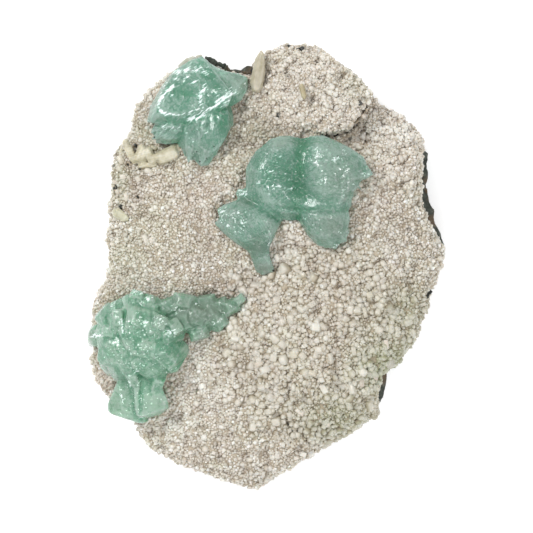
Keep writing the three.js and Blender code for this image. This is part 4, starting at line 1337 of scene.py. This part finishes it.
# %% Cap group
CAP_SIDES = [  # the tablet's side faces slope down to the left of these lines
    [(-37.8, 48.5), (-33.8, 58.8)], [(-33.8, 58.8), (-30.1, 64.3)],
]
SKIRT_TIPS = [  # root, point, width and thickness
    ((-24.9, 39.3), (-25.9, 33.7), 4.6, 3), ((-20.1, 38.8), (-22, 32.5), 5.6, 3),
    ((-34.5, 43.8), (-38.5, 41.7), 4, 3),
]
TIP_SINK = 0.6  # millimetres under the skirt's surface
SKIRT_SIDE = [(-11.6, 46.5), (-13.3, 42.6), (-15.4, 39.2), (-16.6, 36.8), (-17.4, 36.2), (-19.3, 33.2)]
SKIRT_POINTS = [(-19.2, 33.4), (-21.2, 32.6), (-24.2, 35.2), (-25.9, 33.6), (-27, 36.5), (-28.3, 39.5)]
RIM_LINE = [
    (-20.9, 70.6), (-20.4, 69.2), (-18.9, 67.4), (-16.7, 65.9), (-13.4, 64.6), (-10.1, 64), (-5.5, 63.4),
]

upper_left = copy_of("apophyllite_upper_left", "apophyllite_cap_group")
cut_beyond(upper_left, RIM_LINE)
cut_beyond(upper_left, SKIRT_SIDE, reach=3.0)
cut_beyond(upper_left, SKIRT_POINTS, reach=2.0)
skirt = SOLIDS["apophyllite_upper_left"]
leaf_tips = [pointed_tip(*tip, top_of(skirt, *tip[0]) - TIP_SINK * MM) for tip in SKIRT_TIPS]
print("heights of the leaf tips in mm:", [round(tip.location.z / MM, 1) for tip in leaf_tips])
only(*leaf_tips, upper_left)
bpy.ops.object.join()
remeshed(upper_left, 0.29 * MM)
for start, end in CAP_SIDES:
    slope_off(upper_left, start, end)
shape(upper_left, "SMOOTH", factor=0.5, iterations=3)
grow_lines(upper_left, UPPER_LEFT_FANS, 0.16 * MM, 0.10 * MM)
mark_form(
    upper_left,
    flake=(2.4, 0.55, 35),
    # painted highlights and glints, as silver flakes: the bright bevel ring and streaks
    silver=[
        ([(-35.6, 53.2), (-35.2, 54.9), (-33.9, 56.8), (-32.3, 58.2), (-30.6, 59.6)], 0.75, 1),
        ([(-35.9, 53.5), (-35.1, 51.6), (-33.7, 50.7), (-32, 50.4)], 0.78, 0.9),
        ([(-32, 50.4), (-30.1, 50), (-28.1, 50), (-26.2, 50.6), (-24.5, 51.4), (-22, 52.1)], 0.36, 0.85),
        ([(-21.7, 53.5), (-21.7, 56), (-20.6, 58.2), (-20.1, 60.4)], 1, 0.85),
        ([(-27.6, 61.6), (-25.1, 62.7)], 0.42, 0.95), ([(-24.8, 60.4), (-22.3, 61.4)], 0.36, 0.85),
        ([(-30.1, 64), (-25.6, 65.4), (-20.3, 64.3)], 2.1, 0.62),
        ([(-33.4, 59.9), (-30.1, 62.1)], 0.83, 0.55), (-30.9, 56.7, 1.39, 0.67, 0.85),
        (
            [(-25.9, 48.4), (-22.3, 49.1), (-19.5, 51.3), (-16.7, 53.2), (-14.5, 55.4), (-11.7, 57.1)],
            1.11, 0.9,
        ),
        ([(-25.6, 48.8), (-19.5, 51.6), (-11.7, 57.7)], 2.36, 0.5),
        ([(-13.4, 57.1), (-11.4, 59.3)], 0.39, 0.7), ([(-14.5, 53.8), (-10.9, 55.4)], 0.33, 0.65),
        (-7.1, 60.4, 0.72, 0.72, 0.9), (-8.4, 59.3, 0.83, 0.44, 0.6), (-32.3, 46, 4.72, 1.28, 0.46),
        (-22, 45.2, 0.56, 0.39, 0.65), (-21.4, 46.8, 0.56, 0.83, 0.55), (-19.6, 44.1, 0.5, 0.33, 0.9),
        (-24.2, 41.3, 0.33, 0.44, 0.9), (-27.8, 42.1, 0.56, 0.44, 0.55),
        ([(-20.9, 69.3), (-18.9, 65.4), (-15.6, 58.8)], 0.56, 0.34), (-23.1, 43.5, 5.56, 4.44, 0.2),
    ],
    # deep green, and painted shade on the tablet's left side face and on the skirt under the bevel
    deep=[
        (-28.7, 57.9, 4.44, 3.06, 0.75), (-26.2, 54.6, 4.17, 3.06, 0.3),
        ([(-18.9, 64.3), (-16.2, 58.8)], 1.25, 0.5),
        ([(-32.8, 48.5), (-27.3, 47.9), (-23.4, 46.8)], 0.89, 0.5), (-14.8, 49.1, 3.06, 4.17, 1),
        (-13.4, 44.6, 1.94, 3.33, 0.7), ([(-27.3, 47.1), (-29.2, 42.4)], 0.83, 0.6),
        ([(-39.2, 48.8), (-37, 54.6), (-34.5, 59.3), (-31.7, 63.5)], 0.9, 0.9),
        (-21.7, 48.2, 3.33, 1.67, 0.4),
    ],
    pale=[
        (-15.3, 62.9, 1.94, 1.94, 0.8), (-23.4, 44.3, 3.61, 3.61, 0.4), (-9.8, 58.2, 3.33, 3.06, 0.5),
        (-33.7, 45.4, 4.17, 1.94, 0.4), (-25.6, 54.9, 3.89, 1.67, 0.3), (-12, 61.6, 2.78, 2.22, 0.4),
    ],
    # greyish, and painted shade on the tablet's left side face
    grey=[
        (-9.8, 61, 4.44, 3.33, 0.55), (-23.4, 37.7, 5.28, 3.06, 0.5), (-35.6, 48.8, 2.78, 1, 0.55),
        (-36.4, 42.1, 2.22, 1.11, 0.6),
        ([(-39.2, 48.8), (-37, 54.6), (-34.5, 59.3), (-31.7, 63.5)], 0.9, 0.8),
        (-7, 60.2, 1.11, 1.67, 0.8),
    ],
    sparkle=[
        (-25.6, 63.5, 6.11, 2.5, 0.8), (-21.2, 57.1, 2.22, 3.33, 0.8), (-17.6, 53.2, 5.56, 2.78, 0.6),
        (-32.3, 46, 5, 1.67, 0.9), (-23.4, 44.6, 4.44, 3.33, 0.5), (-15.3, 62.9, 2.78, 2.5, 0.4),
    ],
    specks=[
        (-23, 37.9, 0.31, 0.31, 1), (-19.8, 35.7, 0.31, 0.25, 1), (-17.3, 39.6, 0.39, 0.25, 0.9),
        (-33.1, 47.9, 0.28, 0.22, 1), (-37, 42.7, 0.39, 0.33, 1), (-22, 34.6, 0.61, 0.44, 0.7),
        (-25.6, 34.3, 0.25, 0.25, 0.8),
    ],
)

# %% [markdown]
# The rosette is a heap of blunt blocks that grew into each other. The solid gives the large ones. Smaller
# blocks lean out of it all round, each one listed, and remeshing makes one skin of them and the solid.

# %% Rosette
ROSETTE_BLOCKS = [  # x, y, width, length, turn, and the lean about x and about y, all in degrees
    (-48.6, -17, 4.4, 7.4, 8, 10, -12), (-38.3, -10.8, 3.6, 3.2, 15, 20, 10),
    (-42.8, -9.8, 5.4, 4.4, -15, 24, -4), (-30.4, -20, 5.6, 7, 30, 4, 26),
    (-51.6, -21.6, 6.2, 4.4, -8, 2, -20), (-35.2, -18.4, 5.6, 6.4, -20, 4, 14),
    (-44, -37, 4.6, 5.6, 20, -24, -4), (-36, -38.4, 5.2, 5.4, -15, -30, 10),
]
BLOCK_SINK = 0.5  # millimetres that a block's middle lies under the solid's surface
PRISM_LINES = [  # the flutes and ridges of the two prisms and of the large right wing
    ([(-48.6, -38.6), (-48, -47.6)], 0.8, -0.25), ([(-46.4, -39), (-45.6, -50)], 0.5, 0.12),
    ([(-41.2, -38), (-41.8, -51)], 0.5, 0.5), ([(-37.4, -40.2), (-36.6, -49)], 0.6, -0.15),
    ([(-52, -41.2), (-51.2, -47.2)], 0.6, 0.1), ([(-34.4, -37.6), (-25.2, -28.6)], 0.35, 0.35),
    ([(-35.6, -36.2), (-26.6, -27.4)], 0.3, 0.3), ([(-33.2, -39), (-24.8, -30.4)], 0.3, 0.3),
]
WORN_PRISM = [([(-46.4, -38), (-44, -50)], 2, 1)]

rosette_block = worn_block("rosette_block", 1.0, 1.0, 0.9, 0.7, 0.07)
lower_left = copy_of("apophyllite_lower_left", "apophyllite_rosette")
grown = []
for x, y, width, length, turn, lean_x, lean_y in ROSETTE_BLOCKS:
    only(rosette_block)
    bpy.ops.object.duplicate()
    block = bpy.context.object
    block.location = (x * MM, y * MM, top_of(SOLIDS["apophyllite_lower_left"], x, y) - BLOCK_SINK * MM)
    block.rotation_euler = (math.radians(-lean_x), math.radians(lean_y), math.radians(turn))
    block.scale = (width * MM, length * MM, 0.45 * (width + length) * MM)
    grown.append(block)
bpy.data.objects.remove(rosette_block)
only(*grown, lower_left)
bpy.ops.object.join()
remeshed(lower_left, 0.3 * MM)
fill_seams(lower_left, 0.2 * MM, 0.3 * MM)
for line, width, depth in PRISM_LINES:
    press(lower_left, line, width, depth)
weigh(lower_left, "worn", soft_marks(lower_left, WORN_PRISM))
shape(lower_left, "SMOOTH", factor=0.5, iterations=25, vertex_group="worn")
shape(lower_left, "SMOOTH", factor=0.5, iterations=2)
grow_lines(lower_left, LOWER_LEFT_FANS, 0.10 * MM, 0.08 * MM)
mark_form(
    lower_left,
    flake=(0.8, 0.55, 20),
    edge_relief=0.22,
    # painted highlights and glints, as silver flakes
    silver=[
        (-42.7, -8.4, 2.04, 1.3, 0.72), (-39, -10.6, 1.11, 0.74, 0.95), (-37.5, -9.9, 1.11, 0.74, 0.6),
        (-56.1, -22.8, 2.22, 0.96, 1.15), (-58.3, -23.2, 1.11, 1.48, 0.5),
        ([(-47.5, -17.3), (-47.2, -21.7)], 0.44, 0.85), (-48.3, -18, 0.74, 1.11, 0.65),
        (-50.8, -13, 1.11, 1.48, 0.6), (-39.8, -18.4, 1.33, 0.96, 0.95), (-42, -17.3, 2.59, 2.22, 0.45),
        (-34.9, -17.6, 2.96, 2.22, 0.55), (-36.8, -16.2, 1.11, 0.74, 0.7),
        (-31.2, -21.5, 2.96, 1.33, 0.85), (-50.1, -25, 1.11, 0.89, 0.75), (-44.8, -28.4, 1.48, 1.11, 0.45),
        (-39.8, -22.4, 0.52, 0.52, 1), (-39.4, -26.5, 3.33, 2.22, 0.45), (-42.7, -33.9, 1.48, 2.22, 0.6),
        (-40.5, -32.1, 2.22, 0.74, 0.5), (-44.9, -38.4, 1.33, 2.07, 0.68), (-42, -38, 1.11, 2.22, 0.5),
        ([(-48.5, -39.9), (-47.5, -45)], 0.59, 0.68), (-35.3, -30.2, 1.11, 0.74, 0.6),
        (-32.4, -33.6, 4.07, 1.85, 0.36), (-47.9, -48.7, 2.22, 0.74, 0.5), (-41.2, -49.5, 1.11, 1.11, 0.5),
        (-29.8, -14.1, 2.07, 1.63, 0.6), (-23.1, -12.4, 1.11, 0.74, 0.6), (-17.2, -18.4, 1.48, 1.33, 0.66),
        (-20.5, -22.4, 2.96, 1.11, 0.42), (-14.9, -18, 2.22, 1.48, 0.42), (-35.3, -43.6, 2.22, 0.44, 0.42),
        (-44.9, -26.9, 11.11, 11.11, 0.26), (-42.7, -44.7, 6.67, 5.56, 0.28),
    ],
    deep=[
        (-54.2, -15.4, 3.7, 3.33, 0.95), (-49.8, -10.2, 1.48, 1.11, 0.8),
        (
            [(-53.8, -24.7), (-46.8, -22.8), (-42.7, -23.6), (-37.5, -22.8), (-33.1, -24.3), (-27.5, -23.2)],
            0.96, 0.6,
        ),
        (-31.2, -26.2, 4.07, 2.22, 0.7), (-41.6, -34.7, 2.22, 1.48, 0.8), (-54.6, -30.6, 1.85, 4.81, 0.45),
        (-49.4, -36.2, 3.33, 1.85, 0.4), (-38.6, -38, 1.85, 1.85, 0.5), (-34.6, -40.2, 2.22, 2.22, 0.4),
        ([(-41.5, -40.2), (-41.8, -50.6)], 0.59, 0.6), (-33.5, -13.6, 1.85, 2.22, 0.6),
        ([(-47, -18), (-46.9, -22.4)], 0.52, 0.7), (-40.5, -51.3, 1.48, 1.48, 0.6),
        ([(-34.6, -39.1), (-27.9, -31.7)], 0.74, 0.6), (-19.8, -12.1, 11.11, 4.07, 0.35),
        (-12.7, -12.8, 4.44, 2.96, 0.5), (-20, -17, 10, 5, 0.45),
        ([(-45.4, -37), (-43.2, -49.6)], 0.9, 0.5), (-33, -37, 3, 3, 0.5),
    ],
    pale=[
        (-46.4, -43.6, 4.81, 5.56, 0.75), (-36.8, -44.7, 3.7, 5.19, 0.75), (-45.7, -25.4, 4.07, 2.22, 0.6),
        (-48.3, -18, 2.59, 4.07, 0.7), (-51.2, -21.3, 4.07, 1.85, 0.6), (-39.8, -13.6, 4.44, 2.96, 0.4),
        (-34.9, -19.5, 3.33, 2.96, 0.5), (-39.4, -26.5, 2.96, 2.59, 0.5), (-26.1, -27.6, 1.85, 2.22, 0.6),
        (-30.9, -20.6, 2.59, 2.22, 0.4),
    ],
    grey=[
        (-53.5, -36.2, 3.33, 2.96, 0.8), (-58.3, -23.2, 2.22, 2.96, 0.8), (-20.5, -14.8, 14.07, 6.3, 0.95),
        (-29, -12.1, 4.44, 3.33, 0.7), (-20.5, -22.8, 3.7, 2.22, 0.9), (-12.4, -13.2, 4.44, 3.33, 0.6),
        (-49.8, -46.2, 2.59, 4.44, 0.35), (-35.3, -45.4, 2.96, 3.7, 0.3), (-24.9, -26.9, 1.48, 2.22, 0.5),
    ],
    sparkle=[
        (-43.8, -18.7, 14.81, 9.63, 0.7), (-43.8, -34.3, 3.33, 8.15, 0.7), (-17.9, -17.6, 5.93, 3.33, 0.6),
        (-43.8, -44.3, 7.41, 4.44, 0.4), (-30.9, -31.3, 5.56, 4.44, 0.4),
    ],
)


# %% [markdown]
# Most of each group is clear, cloudy green. Its highlights and glints are painted: near-white silver flakes,
# as of cleavage just under a face, which aren't clear, so the faces of those flakes get a second material.

# %% Apophyllite finish
GREEN_TONES = {"pale": (0.58, 0.80, 0.69), "body": (0.27, 0.54, 0.41), "deep": (0.12, 0.43, 0.25)}
ROSETTE_TONES = {"pale": (0.64, 0.87, 0.71), "body": (0.32, 0.62, 0.44), "deep": (0.13, 0.43, 0.25)}
GREY_GREEN = (0.34, 0.375, 0.305)
GLINT_GREEN = (0.84, 0.92, 0.88)
GLINT_SILVER = (0.90, 0.96, 0.96)
# painted highlights and glints: faces above this level get the near-white material
GLINT_LEVEL = 0.2  # faces whose silver mask is above this get the silvery material


def green_finish(name, clear, tones, across, along, facet_relief, facing_shade_contrast, line_contrast):
    """Cloudy green glass, painted deeper in the seams as shade and pale on edges, with lines and sparkling
    facets, painted facet shade and pale painted glints; or, where it isn't clear, the same green with
    silver flakes painted near white as highlights."""
    green = Finish(name, IOR=1.535, Coat_Weight=0.5, Coat_Roughness=0.06)

    def about_zero(source):
        return green.maths("SUBTRACT", source, 0.5)

    def paler(source, tint, *stops):
        return green.mix(green.ramp(source, *stops), colour, tint)

    lines = green.group(GROWTH_LINES, Across=30.0, Along=8.0)
    facets = green.group(FACETS, Across=across, Along=along)
    fine_facets = green.group(FACETS, Across=2.3 * across, Along=2.3 * along, Seed=3.0)
    flecks = green.group(MOTTLE, Size=1100.0, Detail=2.0, Seed=9.0)
    depth = green.maths("ADD", green.mask("depth"), about_zero(green.mask("seam")))
    # painted shade: the seams, the facing of each face and the tilt inside each facet cell darken or lighten
    # the green
    for source, weight in (
        (about_zero(green.group(MOTTLE, Size=120.0, Detail=4.0, Seed=1.0)), 0.24),
        (about_zero(green.group(MOTTLE, Size=420.0, Detail=3.0, Seed=8.0)), 0.24),
        (about_zero(green.mask("face_tone")), facing_shade_contrast), (facets, -0.8), (fine_facets, -0.6),
    ):
        depth = green.maths("MULTIPLY_ADD", source, weight, depth)
    colour = green.ramp(depth, (0.0, tones["pale"]), (0.35, tones["body"]), (1.0, tones["deep"]))
    colour = green.mix(green.maths("MULTIPLY", green.mask("grey"), 0.7), colour, GREY_GREEN)
    colour = paler(green.mask("edge"), tones["pale"], (0.6, 0.0), (1.0, 0.4))
    colour = paler(lines, tones["pale"], (0.5, 0.0), (0.7, line_contrast))
    # painted glints: pale flecks over the green
    colour = paler(flecks, GLINT_GREEN, (0.6, 0.0), (0.95, 0.5))
    colour = paler(green.mask("speck"), NEAR_BLACK, (0.4, 0.0), (0.6, 1.0))
    strength = green.maths("MULTIPLY_ADD", green.mask("sparkle"), 0.5, facet_relief)
    normal = green.bump(lines, line_contrast, 0.4 * MM, Normal=green.bump(flecks, 0.3, 0.1 * MM))
    for relief, reach in ((facets, 1.0 * MM), (fine_facets, 0.5 * MM)):
        normal = green.bump(green.maths("MULTIPLY", relief, strength), 1.0, reach, Normal=normal)
    if clear:
        green.settle(
            green.shader, Transmission_Weight=0.55, Subsurface_Weight=0.3, Subsurface_Radius=(1.2, 2.0, 1.6),
            Subsurface_Scale=1.5 * MM,
        )
        glass = green.add("ShaderNodeVolumeAbsorption", Density=90.0, Color=(0.45, 0.82, 0.62))
        green.settle(green.tree.nodes["Material Output"], Volume=glass.outputs[0])
    else:
        # painted highlights and glints: silver flakes in near white
        colour = green.mix(green.mask("silver"), colour, GLINT_SILVER)
    rough = green.ramp(flecks, (0.0, 0.12), (1.0, 0.24))
    return green.wear(Base_Color=colour, Roughness=rough, Normal=normal)


def dress_green(piece, name, *surface):
    """Gives a group its clear material, and the near-white one of painted highlights and glints where that
    mask is high.
    """
    piece.data.materials.append(green_finish(name, True, *surface))
    piece.data.materials.append(green_finish(name + "_silver", False, *surface))
    silver = read(piece.data.attributes["silver"].data, "value")
    for face in piece.data.polygons:
        face.material_index = int(silver[face.vertices[0]] > GLINT_LEVEL)
    share = np.mean([face.material_index for face in piece.data.polygons])
    print(name, "silvery share of faces:", round(float(share), 3))


dress_green(upper_left, "cap_green", GREEN_TONES, 9.0, 30.0, 0.2, 0.3, 0.07)
dress_green(middle, "bow_tie_green", GREEN_TONES, 4.0, 42.0, 0.25, 0.2, 0.03)
dress_green(lower_left, "rosette_green", ROSETTE_TONES, 16.0, 30.0, 0.3, 0.4, 0.08)

# %% [markdown]
# ## Stilbite
# The cream blades have a silky, pearly face with fine lines along them. A softened copy of each solid gets
# those lines by Displace, and a satin finish that lets some light in.

# %% Stilbite blades
STILBITE_CELL = 0.2 * MM
BLADES = {  # solid: name, the far point that its lines run out from, name of its finish, and four tones
    "stilbite_upper_blade": ("stilbite_top_blade", (-40, -132), "stilbite_pearl", (
        (0.27, 0.23, 0.14), (0.41, 0.37, 0.26), (0.55, 0.51, 0.41), (0.62, 0.57, 0.49))),
    "stilbite_left_blades": ("stilbite_shoulder_blades", (-120, 10), "stilbite_cream", (
        (0.25, 0.22, 0.12), (0.48, 0.44, 0.30), (0.76, 0.72, 0.59), (0.84, 0.81, 0.71))),
    "stilbite_small_blade": ("stilbite_lobe_blade", (40, -60), "stilbite_tan", (
        (0.22, 0.17, 0.08), (0.42, 0.36, 0.22), (0.60, 0.55, 0.40), (0.62, 0.57, 0.42))),
    "stilbite_edge_blade": ("stilbite_rim_blade", (-80, -80), "stilbite_white", (
        (0.33, 0.32, 0.20), (0.52, 0.50, 0.36), (0.66, 0.64, 0.49), (0.72, 0.70, 0.58))),
}
SHOULDER_BLADES = [  # both ends, width, and roll about its length in degrees
    ((-47.4, 42.2), (-43.3, 33.7), 2.7, 20), ((-45.6, 40.6), (-44.2, 35.5), 1.6, -30),
    ((-40.4, 40.4), (-43.1, 34.1), 3, -30), ((-39.9, 38.4), (-41.4, 34), 2.2, 35),
    ((-39.8, 39.5), (-37.4, 33.6), 3, 20), ((-38.6, 39.8), (-35.8, 38.5), 1.8, 0),
    ((-37.1, 37.4), (-35.7, 34.9), 2.2, -25), ((-36.6, 34.9), (-29, 38.6), 5, 12),
    ((-29.2, 41.1), (-29.7, 35.9), 2, -20), ((-42.9, 33.3), (-35.5, 34), 2.1, 0),
    ((-49.2, 36.8), (-46.4, 36.4), 2.2, 10), ((-48.8, 39.1), (-47.2, 37), 1.8, 20),
]
BLADE_SINK = 0.2  # of its width
UPPER_BLADE_SIDE = [(-2.2, 72.6), (-0.7, 70), (-0.4, 64), (-1.2, 60)]


def pearl_finish(name, dark, body, pale, lines_tone):
    """A silky face with fine lines along the blade, that lets some light in."""
    pearl = Finish(
        name, Roughness=0.35, IOR=1.5, Subsurface_Weight=0.3, Subsurface_Radius=(1.0, 0.8, 0.5),
        Subsurface_Scale=1.0 * MM,
    )
    lines = pearl.group(GROWTH_LINES, Across=60.0, Along=5.0)
    colour = pearl.ramp(pearl.group(MOTTLE, Size=260.0, Detail=4.0), (0.0, dark), (0.5, body), (1.0, pale))
    colour = pearl.mix(pearl.ramp(lines, (0.4, 0.0), (0.7, 0.45)), colour, lines_tone)
    return pearl.wear(Base_Color=colour, Normal=pearl.bump(lines, 0.5, 0.3 * MM))


def twisted_blades(node, name):
    """The shoulder group, built from single thin blades on the solid of that group."""
    built = []
    for start, end, width, roll in SHOULDER_BLADES:
        step = Vector(end) - Vector(start)
        middle = (Vector(start) + Vector(end)) / 2
        blade = worn_block(name, 1.0, 1.0, 1.0, 0.7, 0.14)
        top = max(top_of(SOLIDS[node], *middle), top_of(crust, *middle) + 0.8 * MM)
        blade.location = (middle.x * MM, middle.y * MM, top - BLADE_SINK * width * MM)
        blade.rotation_euler = (math.radians(roll), 0, math.atan2(step.y, step.x))
        blade.scale = (step.length * MM, width * MM, 2.4 * MM)
        built.append(blade)
    only(*built)
    bpy.ops.object.join()
    joined = bpy.context.object
    joined.name = joined.data.name = name
    bpy.ops.object.transform_apply(location=True, rotation=True, scale=True)
    return joined


blades = []
for node_name, (name, root, finish_name, tones) in BLADES.items():
    build = twisted_blades if node_name == "stilbite_left_blades" else copy_of
    blade = build(node_name, name)
    if node_name == "stilbite_upper_blade":
        cut_beyond(blade, UPPER_BLADE_SIDE)
    remeshed(blade, STILBITE_CELL)
    shape(blade, "SMOOTH", factor=0.5, iterations=8)
    grow_lines(blade, [(root, 0, everywhere)], 0.10 * MM, 0.05 * MM)
    blade.data.materials.append(pearl_finish(finish_name, *tones))
    blades.append(blade)
print("blades:", [triangles(blade) for blade in blades])

# %% [markdown]
# ## Riding and replacing
# All pieces are one loose body. Each new piece rides on it in place of the solid that it stands for, which
# is hidden.

# %% Ride and replace
STANDS_FOR = [
    (basalt, "basalt_matrix", "basalt"), (crust, "druse_crust", "druse"),
    (upper_left, "apophyllite_upper_left", "apophyllite"), (middle, "apophyllite_middle", "apophyllite"),
    (lower_left, "apophyllite_lower_left", "apophyllite"),
]
STANDS_FOR += [(blade, node_name, "stilbite") for blade, node_name in zip(blades, BLADES)]
STANDS_FOR += [(grains, "druse_crust", "druse") for grains in druse_grains]
for piece, node_name, slot in STANDS_FOR:
    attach(piece, "root")
    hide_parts(node_name)
